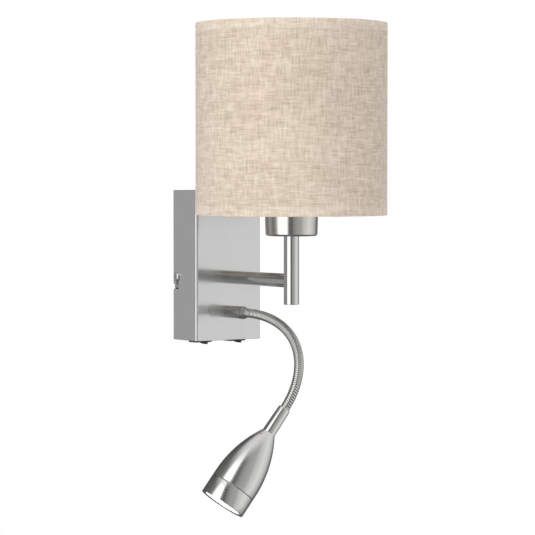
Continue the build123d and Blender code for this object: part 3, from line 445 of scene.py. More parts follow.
@dataclass(frozen=True)
class Linen:
    """Plain-woven linen with thick and thin threads both ways, on a drum round a vertical axis."""

    axis: tuple[float, float]  # the drum's axis in X and Y
    radius: float
    rims: tuple[float, float]  # heights of the lower and upper rim
    dark: tuple[float, float, float] = (0.40, 0.322, 0.244)
    middle: tuple[float, float, float] = (0.60, 0.50, 0.405)
    light: tuple[float, float, float] = (0.77, 0.67, 0.567)
    thread: float = 0.00085  # spacing of the threads
    hem: float = 0.009  # height of the turned-over cloth at each rim

    def mix(self, name: str) -> bpy.types.Material:
        """Makes the material."""
        nodes = Nodes(bpy.data.materials.new(name))
        around, up = self.unrolled(nodes)
        warp = self.threads(nodes, around, up, 3.1)
        weft = self.threads(nodes, up, around, 7.7)
        patches = nodes.noise(self.cloth(nodes, around, up, 130, 145, 1.3), detail=3)
        drift = nodes.noise(self.cloth(nodes, around, up, 14, 16, 4.2), detail=2)
        woven = nodes.sum(nodes.sum(warp, weft), 0.5, "MULTIPLY")
        tone = nodes.sum(nodes.span(woven, 0.0, 0.70, (0.36, 0.64)), nodes.span(patches, 0.0, 0.22))
        tone = nodes.sum(tone, nodes.span(drift, 0.0, 0.08))
        tone = nodes.sum(tone, self.hem_lift(nodes, up))
        colour = nodes.ramp(tone, [(0.04, self.dark), (0.5, self.middle), (0.96, self.light)])
        height = nodes.sum(woven, self.weave(nodes, around, up))
        return nodes.finish(
            Base_Color=colour,
            Roughness=0.9,
            Sheen_Weight=0.25,
            Sheen_Roughness=0.5,
            Specular_IOR_Level=0.2,
            Normal=nodes.bump(height, 0.00022),
        )

    def unrolled(self, nodes: Nodes) -> tuple[bpy.types.NodeSocket, bpy.types.NodeSocket]:
        """The distance round the drum, from the room side, and the height, in metres."""
        centred = nodes.place((1, 1, 1), own=False, offset=(-self.axis[0], -self.axis[1], 0))
        parts = nodes.add("SeparateXYZ", {0: centred}).outputs
        front = nodes.sum(parts["Y"], -1.0, "MULTIPLY")
        turn = nodes.sum(parts["X"], front, "ARCTAN2")
        return nodes.sum(turn, self.radius, "MULTIPLY"), parts["Z"]

    def cloth(
        self, nodes: Nodes, a: object, b: object, per_a: float, per_b: float, shift: float
    ) -> bpy.types.NodeSocket:
        """A point on the cloth, scaled along each thread direction."""
        links = {0: nodes.sum(a, per_a, "MULTIPLY"), 1: nodes.sum(b, per_b, "MULTIPLY"), 2: shift}
        return nodes.add("CombineXYZ", links).outputs[0]

    def threads(self, nodes: Nodes, across: object, along: object, shift: float) -> bpy.types.NodeSocket:
        """Brightness of one set of threads: each differs, and thickens and thins along its length."""
        short = nodes.noise(self.cloth(nodes, across, along, 0.8 / self.thread, 90, shift), detail=2)
        long = nodes.noise(self.cloth(nodes, across, along, 0.42 / self.thread, 40, shift + 9), detail=2)
        return nodes.sum(nodes.sum(short, 0.6, "MULTIPLY"), nodes.sum(long, 0.4, "MULTIPLY"))

    def weave(self, nodes: Nodes, around: object, up: object) -> bpy.types.NodeSocket:
        """Height of the over-and-under crossing of the threads."""
        rate = math.pi / self.thread
        waves = [nodes.sum(nodes.sum(way, rate, "MULTIPLY"), 0.0, "SINE") for way in (around, up)]
        return nodes.sum(nodes.sum(waves[0], waves[1], "MULTIPLY"), 0.16, "MULTIPLY")

    def hem_lift(self, nodes: Nodes, up: bpy.types.NodeSocket) -> bpy.types.NodeSocket:
        """How much lighter the doubled cloth is near each rim."""
        middle, half = sum(self.rims) / 2, (self.rims[1] - self.rims[0]) / 2
        away = nodes.sum(nodes.sum(nodes.sum(up, -middle), 0.0, "ABSOLUTE"), -(half - self.hem))
        return nodes.span(away, 0.0, 0.13, (-0.0006, 0.0006))


@dataclass(frozen=True)
class Glow:
    """A pale surface that gives light, a little uneven over its face."""

    colour: tuple[float, float, float]
    strength: float
    roughness: float = 0.25

    def mix(self, name: str) -> bpy.types.Material:
        """Makes the material."""
        nodes = Nodes(bpy.data.materials.new(name))
        cloud = nodes.noise(nodes.place((120, 120, 120), own=False))
        return nodes.finish(
            Base_Color=nodes.ramp(cloud, [(0.3, shade_of(self.colour, 0.94)), (0.7, self.colour)]),
            Roughness=self.roughness,
            Emission_Color=(*self.colour, 1),
            Emission_Strength=self.strength,
        )


@dataclass(frozen=True)
class ClearSheet:
    """Clear or opal plastic or glass with a slight ripple."""

    colour: tuple[float, float, float]
    roughness: float
    clarity: float

    def mix(self, name: str) -> bpy.types.Material:
        """Makes the material."""
        nodes = Nodes(bpy.data.materials.new(name))
        ripple = nodes.noise(nodes.place((90, 90, 90), own=False))
        return nodes.finish(
            Base_Color=(*self.colour, 1),
            Roughness=nodes.span(ripple, self.roughness, self.roughness + 0.04),
            Transmission_Weight=self.clarity,
            IOR=1.49,
            Normal=nodes.bump(ripple, 0.00003),
        )


NICKEL = (0.66, 0.655, 0.64)
ALONG, ACROSS = 6.0, 5200.0


def mix_paints(
    shade_axis: tuple[float, float], shade_radius: float, rims: tuple[float, float]
) -> dict[str, bpy.types.Material]:
    """Makes every finish of the lamp.

    Args:
        shade_axis: The drum's axis in X and Y.
        shade_radius: The drum's outer radius.
        rims: Heights of the drum's lower and upper rim.

    Returns:
        The materials by name.
    """
    recipes = {
        "nickel_sheet": BrushedMetal((0.66, 0.66, 0.66), 0.15, (ACROSS, ACROSS, ALONG), metallic=0.88),
        "nickel_turned": BrushedMetal(NICKEL, 0.16, (30, 30, ACROSS)),
        "nickel_drawn": BrushedMetal(NICKEL, 0.15, (2600, 2600, ALONG)),
        # A warmer copy of the nickel for the cup: its tint is a painted reflection of the warm linen shade above it.
        "nickel_cup_painted_warm_reflection": BrushedMetal((0.66, 0.64, 0.60), 0.17, (30, 30, ACROSS)),
        "nickel_flex": BrushedMetal((0.56, 0.56, 0.55), 0.17, (900, 900, 900), 0.000006),
        "zinc": CastSurface((0.62, 0.64, 0.66), 0.34, metallic=1.0, grain=900),
        "screw_steel": CastSurface((0.74, 0.74, 0.74), 0.22, metallic=1.0, grain=1200),
        "brass": CastSurface((0.78, 0.58, 0.27), 0.26, metallic=1.0, grain=900),
        "aluminium": CastSurface((0.72, 0.73, 0.74), 0.38, metallic=1.0, grain=1500),
        "reflector": CastSurface((0.90, 0.90, 0.90), 0.08, metallic=1.0, grain=500, depth=0.000002),
        "black_plastic": CastSurface((0.012, 0.012, 0.013), 0.36, grain=3000, depth=0.00002, variation=0.25),
        "rubber": CastSurface((0.03, 0.03, 0.03), 0.62, grain=1600, depth=0.00003, variation=0.3),
        "white_plastic": CastSurface((0.80, 0.79, 0.75), 0.34, grain=1400),
        "terminal_plastic": CastSurface((0.70, 0.70, 0.65), 0.42, grain=1100),
        "white_wire": CastSurface((0.82, 0.82, 0.80), 0.40, grain=2200, depth=0.00002),
        "wire_sleeving": CastSurface((0.26, 0.13, 0.06), 0.45, grain=1200),
        "solder_mask": CastSurface((0.82, 0.83, 0.80), 0.30, grain=1500),
        "laminate": CastSurface((0.80, 0.75, 0.66), 0.55, grain=420, depth=0.00004),
        "linen": Linen(shade_axis, shade_radius, rims),
        "opal": Glow((0.93, 0.92, 0.89), 0.12),
        "lens_light": Glow((1.0, 0.99, 0.97), 2.4),
        "clear_lens": ClearSheet((0.97, 0.98, 1.0), 0.03, 0.9),
    }
    return {name: recipe.mix(name) for name, recipe in recipes.items()}


# ------------------------------------------------------------------ cover, switches and what they hold
@dataclass
class WallBox:
    """The folded cover, its side screws and the two rocker switches."""

    fitter: Fitter
    joints: list[dict]
    sheet: float = 1.2 * MM
    fold_radius: float = 2.4 * MM
    rim_radius: float = 0.5 * MM
    slot_width: float = 4.6 * MM
    slot_drop: float = 9.5 * MM
    bezel_lip: float = 0.8 * MM
    rocker_gap: float = 0.25 * MM
    rocker_room: float = 4.8 * MM  # half the width of the well that the rocker sits in
    roof_height: float = 9.2 * MM  # of the well, above the cover's lower side
    rocker_reach: float = 7.5 * MM
    rocker_half: float = 4.6 * MM
    rocker_taper: float = 0.885

    def build(self) -> None:
        """Makes the cover and the switches."""
        self.cover()
        for side in ("lamp", "reading"):
            self.switch(side)

    def cover(self) -> None:
        """Folds the cover from sheet: five sides, rounded folds and a hooked slot in each flank."""
        low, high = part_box("cover_box")
        cover = block("cover", low, high)
        front = low.y + NEAR
        choose_edges(cover, lambda a, b: a.y < front and b.y < front and abs(a.z - b.z) > 0.1)
        bpy.ops.mesh.bevel(offset=self.fold_radius, segments=6, affect="EDGES")
        top = high.z - NEAR
        choose_edges(cover, lambda a, b: min(abs(a.z), abs(b.z)) > top and min(a.y, b.y) < -MM)
        bpy.ops.mesh.bevel(offset=self.rim_radius, segments=3, affect="EDGES")
        bpy.ops.object.mode_set(mode="OBJECT")
        for side in (-1, 1):
            carve(cover, self.hooked_slot(side))
        wall = Vector((self.sheet,) * 3)
        carve(cover, block("cover_hollow", low + wall, Vector((high.x, high.y + 3 * MM, high.z)) - wall))
        soften(cover)
        apply(cover, "WEIGHTED_NORMAL", keep_sharp=True, weight=100)
        self.fitter.fit(cover, "nickel_sheet", "brushed_nickel", replaces=["cover_box"])

    def hooked_slot(self, side: int) -> bpy.types.Object:
        """A cutter for the slot that hooks over a side screw: a round top, an upright and a mouth to the wall.

        Args:
            side: -1 for the -X flank and 1 for the other.

        Returns:
            The cutter.
        """
        screw_low, screw_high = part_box("cover_screws")
        y, z = (screw_low.y + screw_high.y) / 2, (screw_low.z + screw_high.z) / 2
        half = self.slot_width / 2
        foot, sill = z - self.slot_drop - half, z - self.slot_drop + half
        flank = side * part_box("cover_box")[1].x
        inner, outer = sorted((flank - side * 3 * MM, flank + side * 3 * MM))
        cutter = block("slot_cutter", Vector((inner, y - half, foot)), Vector((outer, y + half, z + half)))
        pick(cutter)
        bpy.ops.object.mode_set(mode="EDIT")
        bpy.ops.mesh.select_all(action="SELECT")
        bpy.ops.mesh.bisect(plane_co=(0, 0, sill), plane_no=(0, 0, 1))
        choose_faces(cutter, lambda at, normal: normal.y > 0.9 and at.z < sill)
        bpy.ops.mesh.extrude_region_move(TRANSFORM_OT_translate={"value": (0, 2 * MM - y - half, 0)})
        top = z + half - NEAR
        choose_edges(cutter, lambda a, b: min(a.z, b.z) > top and abs(a.x - b.x) > MM)
        bpy.ops.mesh.bevel(offset=half * 0.96, segments=7, affect="EDGES")
        bpy.ops.mesh.select_all(action="SELECT")
        bpy.ops.mesh.normals_make_consistent(inside=False)
        bpy.ops.object.mode_set(mode="OBJECT")
        return cutter

    def switch(self, side: str) -> None:
        """Models one switch: its bezel and housing, and the rocker in them."""
        low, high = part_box(f"{side}_switch_body")
        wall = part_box("cover_box")[0].z
        bezel = block(f"{side}_switch_bezel", low - Vector((0, 0, self.bezel_lip)), Vector((high.x, high.y, wall)))
        rocker_low, rocker_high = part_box(f"{side}_switch_rocker")
        gap, middle = self.rocker_gap, (low.y + high.y) / 2
        room = (
            Vector((rocker_low.x - gap, middle - self.rocker_room, low.z - 3 * MM)),
            Vector((rocker_high.x + gap, middle + self.rocker_room, wall + MM)),
        )
        carve(bezel, block("rocker_room", *room))
        apply(bezel, "BEVEL", width=0.45 * MM, segments=3, limit_method="ANGLE")
        soften(bezel)
        housing = self.housing(side, Vector((low.x, low.y, wall)), high, room)
        whole = join([bezel, housing])
        self.fitter.fit(whole, "black_plastic", "black_rocker", replaces=[f"{side}_switch_body"])
        self.rocker(side)

    def housing(
        self, side: str, low: Vector, high: Vector, room: tuple[Vector, Vector]
    ) -> bpy.types.Object:
        """The switch's box above the bezel, hollow below for the rocker."""
        inset = (high.x - low.x) / 2 - 8.4 * MM
        body = block(
            f"{side}_housing",
            Vector((low.x + inset, low.y + 0.8 * MM, low.z)),
            Vector((high.x - inset, high.y - 0.8 * MM, high.z)),
        )
        foot = Vector((room[0].x, room[0].y, low.z - MM))
        carve(body, block("rocker_room", foot, Vector((room[1].x, room[1].y, low.z + self.roof_height))))
        apply(body, "BEVEL", width=0.3 * MM, segments=2, limit_method="ANGLE")
        soften(body)
        return body

    def rocker(self, side: str) -> None:
        """A rocker with a shallow V face, rounded ends and soft edges, at the tilt that it rests at."""
        low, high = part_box(f"{side}_switch_rocker")
        middle = (low + high) / 2
        joint = next(j for j in self.joints if j["name"] == f"{side}_switch")
        pivot = Vector(joint["pos_m"])
        tilt = math.radians(-joint["range_deg"][0] / 2)
        reach, wide = self.rocker_reach, self.rocker_half
        rocker = block(f"{side}_rocker", Vector((-reach, -wide, -3.5 * MM)), Vector((reach, wide, 3.2 * MM)))
        pick(rocker)
        bpy.ops.object.mode_set(mode="EDIT")
        bpy.ops.mesh.select_all(action="SELECT")
        bpy.ops.mesh.bisect(plane_co=(0, 0, 0), plane_no=(1, 0, 0))
        bpy.ops.object.mode_set(mode="OBJECT")
        for point in rocker.data.vertices:
            if point.co.z < 0:
                point.co.z -= abs(point.co.x) * math.tan(tilt)
                point.co.x *= self.rocker_taper
        apply(rocker, "BEVEL", width=0.55 * MM, segments=4, limit_method="ANGLE", angle_limit=math.radians(40))
        soften(rocker)
        place = Matrix.Translation((pivot.x, middle.y, pivot.z)) @ Matrix.Rotation(tilt, 4, "Y")
        self.fitter.fit(
            rocker, "black_plastic", "black_rocker", f"{side}_rocker", place, [f"{side}_switch_rocker"]
        )


# ------------------------------------------------------------------ fixed arm, post and lampholder
@dataclass
class FixedArm:
    """The straight arm, the post with its closed foot, and the cup round the lampholder."""

    fitter: Fitter
    edge: float = 0.5 * MM

    def build(self) -> None:
        """Makes the arm, the post and the cup."""
        self.arm()
        self.post()
        self.cup()

    def arm(self) -> None:
        """A drawn tube from the cover to the post's middle."""
        low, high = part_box("arm_tube")
        radius = (high.x - low.x) / 2
        post_low, post_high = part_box("post_tube")
        reach = high.y - (post_low.y + post_high.y) / 2
        tube = turned("arm", [(radius, 0.0), (radius, reach)])
        place = outwards(high.y, (low.z + high.z) / 2)
        self.fitter.fit(tube, "nickel_drawn", "brushed_nickel", "lamp", place, ["arm_tube"])

    def post(self) -> None:
        """A drawn tube with a rounded lower rim and a plug set just inside it."""
        low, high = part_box("post_tube")
        radius, axis = (high.x - low.x) / 2, (low.y + high.y) / 2
        bore = radius - 1.2 * MM
        foot = arc((radius - self.edge, low.z + self.edge), self.edge, -90, 0)
        rings = [(bore, high.z), (bore, low.z + 0.4 * MM), (bore + 0.2 * MM, low.z), *foot, (radius, high.z)]
        tube = turned("post", rings, Ends.JOINED)
        self.fitter.fit(tube, "nickel_drawn", "brushed_nickel", "lamp", upright(0, axis), ["post_tube"])
        plug_low, plug_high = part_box("post_end_plug")
        plug = turned(
            "post_plug",
            [(bore * 0.35, plug_low.z + 0.6 * MM), (bore * 0.9, plug_low.z + 0.25 * MM), (bore, plug_low.z + 0.7 * MM),
             (bore, plug_high.z)],
        )
        self.fitter.fit(plug, "nickel_turned", "brushed_nickel", "lamp", upright(0, axis), ["post_end_plug"])

    def cup(self) -> None:
        """A spun cup with a rounded lower edge and a thin rim."""
        low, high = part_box("holder_cup")
        top, axis = (high.x - low.x) / 2, (low.y + high.y) / 2
        foot, bend, wall, hole = top - 0.9 * MM, 2.6 * MM, 1.0 * MM, 5.05 * MM
        outside = [(foot * 0.6, low.z), *arc((foot - bend, low.z + bend), bend, -90, -4, 7), (top, high.z - 0.3 * MM)]
        rim = [(top - 0.3 * MM, high.z), (top - wall + 0.3 * MM, high.z)]
        inside = arc((foot - bend, low.z + bend), bend - wall, 0, -90, 5)
        rings = [(hole, low.z), *outside, *rim, (top - wall, high.z - 0.3 * MM), *inside, (hole, low.z + wall)]
        cup = turned("cup", rings, Ends.JOINED, 128)
        # The cup's finish is the warmer nickel copy, whose tint is a painted reflection of the shade.
        self.fitter.fit(cup, "nickel_cup_painted_warm_reflection", "brushed_nickel", "lamp", upright(0, axis), ["holder_cup"])


# ------------------------------------------------------------------ shade and bulb
@dataclass
class DrumShade:
    """The linen drum with its turned-in rims, its lap seam and the stiff liner."""

    fitter: Fitter
    roll: float = 0.6 * MM  # radius of the rolled rims
    turn_in: float = 7.0 * MM  # cloth folded over the hoops
    lap: float = 12.0 * MM
    cloth: float = 0.7 * MM
    sides: int = 180
    spans: int = 24  # of the drum's height

    def build(self) -> None:
        """Makes the cloth, its seam and the liner."""
        low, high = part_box("shade_fabric")
        radius, axis = (high.x - low.x) / 2, (low.y + high.y) / 2
        inner = radius - self.cloth
        lower = arc((radius - self.roll, low.z + self.roll), self.roll, 0, -180, 8)
        upper = arc((radius - self.roll, high.z - self.roll), self.roll, 180, 0, 8)
        tuck = radius - 2 * self.roll
        tall = high.z - low.z - 2 * self.roll
        side = [(radius, low.z + self.roll + tall * i / self.spans) for i in range(1, self.spans)]
        rings = [
            (tuck, low.z + self.turn_in), *reversed(lower), *side, *reversed(upper), (tuck, high.z - self.turn_in),
            (inner, high.z - self.turn_in - 0.6 * MM), (inner, low.z + self.turn_in + 0.6 * MM),
        ]
        drum = turned("shade_linen", rings, Ends.JOINED, self.sides)
        self.fitter.fit(drum, "linen", "linen", "lamp", upright(0, axis), ["shade_fabric"])
        self.seam(radius, axis, low.z, high.z)
        self.liner(axis)

    def seam(self, radius: float, axis: float, low: float, high: float) -> None:
        """The glued lap of the cloth, on the side towards the wall."""
        half = self.lap / 2 / radius
        deselect()
        bpy.ops.mesh.primitive_grid_add(x_subdivisions=12, y_subdivisions=40, size=1, location=(0, 0, 0))
        strip = bpy.context.object
        strip.name = "shade_seam"
        for point in strip.data.vertices:
            turn = point.co.x * 2 * half
            height = low + 1.2 * MM + (point.co.y + 0.5) * (high - low - 2.4 * MM)
            proud = radius + 0.02 * MM + 0.25 * MM * (1 - (2 * point.co.x) ** 8)
            point.co = (-proud * math.sin(turn), proud * math.cos(turn), height)
        apply(strip, "SOLIDIFY", thickness=0.4 * MM, offset=-1.0)
        soften(strip)
        self.fitter.fit(strip, "linen", "linen", "lamp", upright(0, axis))

    def liner(self, axis: float) -> None:
        """The stiff sheet inside the cloth."""
        low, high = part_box("shade_liner")
        outer = (high.x - low.x) / 2
        inner = outer - 0.4 * MM
        ends = (low.z + self.turn_in, high.z - self.turn_in)
        rings = [(outer, ends[0]), (outer, ends[1]), (inner, ends[1]), (inner, ends[0])]
        sheet = turned("shade_lining", rings, Ends.JOINED, self.sides)
        self.fitter.fit(sheet, "laminate", "shade_liner", "lamp", upright(0, axis), ["shade_liner"])


@dataclass
class Bulb:
    """The bulb: opal globe, plastic collar and threaded cap."""

    fitter: Fitter
    thread_pitch: float = 3.6 * MM
    thread_depth: float = 0.75 * MM

    def build(self) -> None:
        """Makes the globe, collar and cap."""
        low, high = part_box("bulb_globe")
        radius, axis = (high.x - low.x) / 2, (low.y + high.y) / 2
        middle = high.z - radius
        start = math.degrees(math.asin((low.z - middle) / radius))
        globe = turned("bulb_glass", arc((0, middle), radius, start, 88, 28))
        self.fitter.fit(globe, "opal", "opal_glass", "lamp", upright(0, axis), ["bulb_globe"])
        self.collar(axis)
        self.cap(axis)

    def collar(self, axis: float) -> None:
        """The flared plastic body."""
        low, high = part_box("bulb_collar")
        mouth = (high.x - low.x) / 2
        rings = [(13.4 * MM, low.z), (13.4 * MM, low.z + 6 * MM), (15.4 * MM, low.z + 10 * MM), (mouth, high.z)]
        collar = turned("bulb_body", rings)
        self.fitter.fit(collar, "white_plastic", "white_plastic", "lamp", upright(0, axis), ["bulb_collar"])

    def cap(self, axis: float) -> None:
        """The screw cap with its rolled thread and centre contact."""
        low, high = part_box("bulb_cap")
        crest = (high.x - low.x) / 2
        rings = [(4.4 * MM, low.z), (5.0 * MM, low.z + MM), (crest - 2 * MM, low.z + 4 * MM)]
        start, steps = low.z + 6 * MM, 40
        for step in range(steps + 1):
            rise = (high.z - start) * step / steps
            wave = 0.5 - 0.5 * math.cos(2 * math.pi * rise / self.thread_pitch)
            rings.append((crest - self.thread_depth * wave, start + rise))
        cap = turned("bulb_thread", rings, sides=64)
        self.fitter.fit(cap, "zinc", "zinc_steel", "lamp", upright(0, axis), ["bulb_cap"])


# ------------------------------------------------------------------ flexible reading arm
@dataclass
class FlexPath:
    """The line of the flexible arm at rest: a bend in one plane that tightens towards the head."""

    start: Vector
    length: float = 188.2 * MM
    lean: float = math.radians(35)  # of the bend's plane, from vertical towards -X
    even_turn: float = math.radians(52)
    end_turn: float = math.radians(46)
    steps: int = 600
    points: list[Vector] = field(default_factory=list)

    def __post_init__(self) -> None:
        """Walks along the line in short steps."""
        step = self.length / self.steps
        place = self.start.copy()
        self.points = [place.copy()]
        for i in range(self.steps):
            place = place + self.direction((i + 0.5) / self.steps) * step
            self.points.append(place)

    def direction(self, share: float) -> Vector:
        """The line's direction at a share of its length."""
        turn = self.even_turn * share + self.end_turn * share**4
        down = Vector((-math.sin(self.lean), 0, -math.cos(self.lean)))
        return Vector((0, -1, 0)) * math.cos(turn) + down * math.sin(turn)

    def point(self, share: float) -> Vector:
        """The place at a share of the length."""
        at = min(max(share, 0.0), 1.0) * self.steps
        low = min(int(at), self.steps - 1)
        return self.points[low].lerp(self.points[low + 1], at - low)

    def frame(self, share: float) -> Matrix:
        """The frame at a share of the length, its +Z along the line and +Y square to the bend's plane."""
        along = self.direction(share)
        square = Vector((0, -1, 0)).cross(Vector((-math.sin(self.lean), 0, -math.cos(self.lean)))).normalized()
        side = square.cross(along)
        turn = Matrix((side, square, along)).transposed().to_4x4()
        return Matrix.Translation(self.point(share)) @ turn

    def share_of(self, place: Vector) -> float:
        """The share of the length at the point of the line nearest to a place."""
        nearest = min(range(len(self.points)), key=lambda i: (self.points[i] - place).length)
        return nearest / self.steps


@dataclass
class ReadingArm:
    """The sleeve and collar on the cover, and the spiral-wound tube that bends."""

    fitter: Fitter
    joints: list[dict]
    pitch: float = 2.4 * MM
    radius: float = 4.45 * MM
    valley: float = 0.6 * MM
    sides: int = 40
    smooth: float = math.radians(60)  # the spiral's folds are shaded smooth up to this angle
    bore: float = 3.6 * MM
    # The joint's darkness is painted shadow: a black ring fills the gap.
    shadow_gap: float = 1.1 * MM  # the dark joint between sleeve and collar

    def build(self) -> FlexPath:
        """Makes the arm.

        Returns:
            The line that it follows at rest.
        """
        self.sleeve()
        collar_low, collar_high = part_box("reading_arm_collar")
        path = FlexPath(Vector((0, collar_low.y, (collar_low.z + collar_high.z) / 2)))
        self.tube(path)
        return path

    def sleeve(self) -> None:
        """The straight sleeve, a black ring in the groove as painted shadow, and the collar that tapers to the tube."""
        low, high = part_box("reading_arm_sleeve")
        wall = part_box("cover_box")[0].y
        radius, length = (high.x - low.x) / 2, wall - low.y
        bore = self.bore
        rings = [(radius, 0), *arc((radius - 0.25 * MM, length - 0.25 * MM), 0.25 * MM, 0, 90, 3), (bore, length)]
        sleeve = turned("arm_sleeve", [(bore, 0), *rings], Ends.JOINED)
        place = outwards(wall, (low.z + high.z) / 2)
        self.fitter.fit(sleeve, "nickel_drawn", "brushed_nickel", "lamp", place, ["reading_arm_sleeve"])
        collar_low, collar_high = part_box("reading_arm_collar")
        tall = collar_high.y - collar_low.y
        tip, start = self.radius + 0.15 * MM, self.shadow_gap
        taper = [
            (radius - 0.1 * MM, start), (radius, start + 0.15 * MM), (radius - 0.05 * MM, start + 0.7 * MM),
            (radius - 0.2 * MM, start + 1.4 * MM), (tip, tall), (bore, tall),
        ]
        collar = turned("arm_collar", [(bore, start), *taper], Ends.JOINED)
        place = outwards(collar_high.y, (low.z + high.z) / 2)
        self.fitter.fit(collar, "nickel_turned", "brushed_nickel", "lamp", place, ["reading_arm_collar"])
        # A black ring set in the groove between sleeve and collar: painted shadow of the gap.
        edge = radius - 0.12 * MM
        seam = turned("arm_shadow_ring", [(bore, 0), (edge, 0), (edge, start), (bore, start)], Ends.JOINED)
        self.fitter.fit(seam, "rubber", "rubber", "lamp", place)

    def tube(self, path: FlexPath) -> None:
        """The wound tube, in one section across each joint and one at each end."""
        chain = [j for j in self.joints if j["name"].startswith(("bend", "sway"))]
        shares = [0.0] + [path.share_of(Vector(j["pos_m"])) for j in chain] + [1.0]
        middles = [(a + b) / 2 for a, b in zip(shares, shares[1:])]
        cuts = [0.0, *middles, 1.0]
        first_body, last_body = chain[0]["parent"], chain[-1]["child"]
        self.section("flex_wall_end", path, cuts[0], cuts[1], first_body, ["flex_link_01"])
        for number, joint in enumerate(chain, start=1):
            low, high = cuts[number], cuts[number + 1]
            nodes = [f"flex_link_{number + 1:02d}"]
            piece = self.section(f"flex_{number:02d}", path, low, high, "", nodes)
            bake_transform(piece)
        self.section("flex_head_end", path, cuts[-2], cuts[-1], last_body, [])

    def section(
        self, name: str, path: FlexPath, low: float, high: float, body: str, nodes: list[str]
    ) -> bpy.types.Object:
        """Winds one section of the tube and lays it along the line.

        Args:
            name: The piece's name.
            path: The line.
            low: Share of the length where the section starts.
            high: Share of the length where it ends.
            body: The body that it moves with, or nothing.
            nodes: The nodes that it stands for.

        Returns:
            The section.
        """
        run = (high - low) * path.length
        turns = max(1, round(run / self.pitch))
        pitch = run / turns
        shape = [(0.0, 1.0), (0.1, 0.5), (0.2, 0.14), (0.36, 0.0), (0.64, 0.0), (0.8, 0.14), (0.9, 0.5)]
        rings = [
            (self.radius - self.valley * depth, (turn + at) * pitch) for turn in range(turns) for at, depth in shape
        ]
        rings.append((self.radius - self.valley, run))
        piece = turned(name, rings, Ends.OPEN, self.sides)
        for point in piece.data.vertices:
            share = low + (high - low) * point.co.z / run
            point.co = path.frame(share) @ Vector((point.co.x, point.co.y, 0))
        soften(piece, self.smooth)
        return self.fitter.fit(piece, "nickel_flex", "flex_steel", body, None, nodes)


# ------------------------------------------------------------------ reading head
@dataclass
class ReadingHead:
    """The neck, the bullet-shaped casing, the front ring and the lens."""

    fitter: Fitter
    place: Matrix
    neck: float = 27.0 * MM
    length: float = 77.0 * MM
    radius: float = 21.6 * MM
    neck_radius: float = 6.3 * MM
    ring: float = 17.8 * MM
    straight: float = 22.0 * MM
    opening: float = 17.8 * MM
    wall: float = 1.3 * MM
    sides: int = 128
    body: str = "reading_head"

    def build(self) -> None:
        """Makes the head's visible pieces."""
        self.neck_tube()
        self.casing()
        self.front_ring()
        self.lens()

    @property
    def mouth(self) -> float:
        """Distance from the flexible arm's end to the mouth."""
        return self.neck + self.length

    def side(self, height: float, inset: float = 0.0) -> float:
        """Radius of the casing's skin at a height."""
        drop = self.radius - self.neck_radius - 0.3 * MM
        rise = self.length - self.straight
        bow = (rise**2 + drop**2) / (2 * drop)
        back = max(0.0, self.mouth - self.straight - height)
        return self.radius - inset - (bow - math.sqrt(bow**2 - back**2))

    def neck_tube(self) -> None:
        """The slightly tapered neck with a chamfered top edge."""
        top, foot, bore = 5.75 * MM, self.neck_radius, 3.0 * MM
        rings = [
            (bore, 0.3 * MM), (bore + 0.5 * MM, 0), (top - 0.7 * MM, 0), (top - 0.1 * MM, 0.7 * MM), (top, 1.0 * MM),
            (foot, self.neck + 0.4 * MM), (bore, self.neck + 0.4 * MM),
        ]
        tube = turned("head_neck", rings, Ends.JOINED, 72)
        self.fitter.fit(tube, "nickel_drawn", "brushed_nickel", self.body, self.place, ["neck_sleeve"])

    def casing(self) -> None:
        """The casing from the neck to the seam, hollow, with a step for the front ring."""
        seam, spans = self.mouth - self.ring, 40
        heights = [self.neck + (seam - 0.35 * MM - self.neck) * i / spans for i in range(spans + 1)]
        outside = [(self.side(h), h) for h in heights]
        lip = [(self.radius - 0.35 * MM, seam), (self.radius - self.wall, seam)]
        inside = [(self.side(h, self.wall), h) for h in heights[::-5] if h > self.neck + 4 * MM]
        start = (self.neck_radius - 0.8 * MM, self.neck)
        rings = [start, *outside, *lip, *inside, (4.6 * MM, self.neck + 4 * MM)]
        shell = turned("head_casing", rings, Ends.JOINED, self.sides)
        self.fitter.fit(shell, "nickel_turned", "brushed_nickel", self.body, self.place, ["head_shell"])

    def front_ring(self) -> None:
        """The ring in front of the seam, with a lip that slopes in to the lens."""
        seam, mouth, r = self.mouth - self.ring, self.mouth, self.radius
        lens = mouth - 1.0 * MM
        rings = [
            (r - self.wall, seam + 0.35 * MM), (r - 0.6 * MM, seam + 0.35 * MM), (r - 0.15 * MM, seam + 0.45 * MM),
            (r, seam + 0.75 * MM), (r, mouth - 0.6 * MM), *arc((r - 0.6 * MM, mouth - 0.6 * MM), 0.6 * MM, 20, 90, 4),
            (r - 1.0 * MM, mouth), (self.opening + 0.15 * MM, lens + 0.3 * MM), (self.opening, lens),
            (r - self.wall, lens),
        ]
        ring = turned("head_ring", rings, Ends.JOINED, self.sides)
        self.fitter.fit(ring, "nickel_turned", "brushed_nickel", self.body, self.place, ["head_bezel"])

    def lens(self) -> None:
        """The bright diffusing disc, slightly domed, behind the ring's lip."""
        front, back, r = self.mouth - 1.1 * MM, self.mouth - 4.6 * MM, 19.0 * MM
        dome = [(r * share, front + 0.5 * MM * (1 - share**2)) for share in (0.9, 0.75, 0.55, 0.3, 0.08)]
        rings = [(r * 0.1, back), (r, back), (r, front - 0.2 * MM), (r - 0.4 * MM, front), *dome]
        disc = turned("head_lens_disc", rings)
        self.fitter.fit(disc, "lens_light", "clear_lens", self.body, self.place, ["head_lens"])


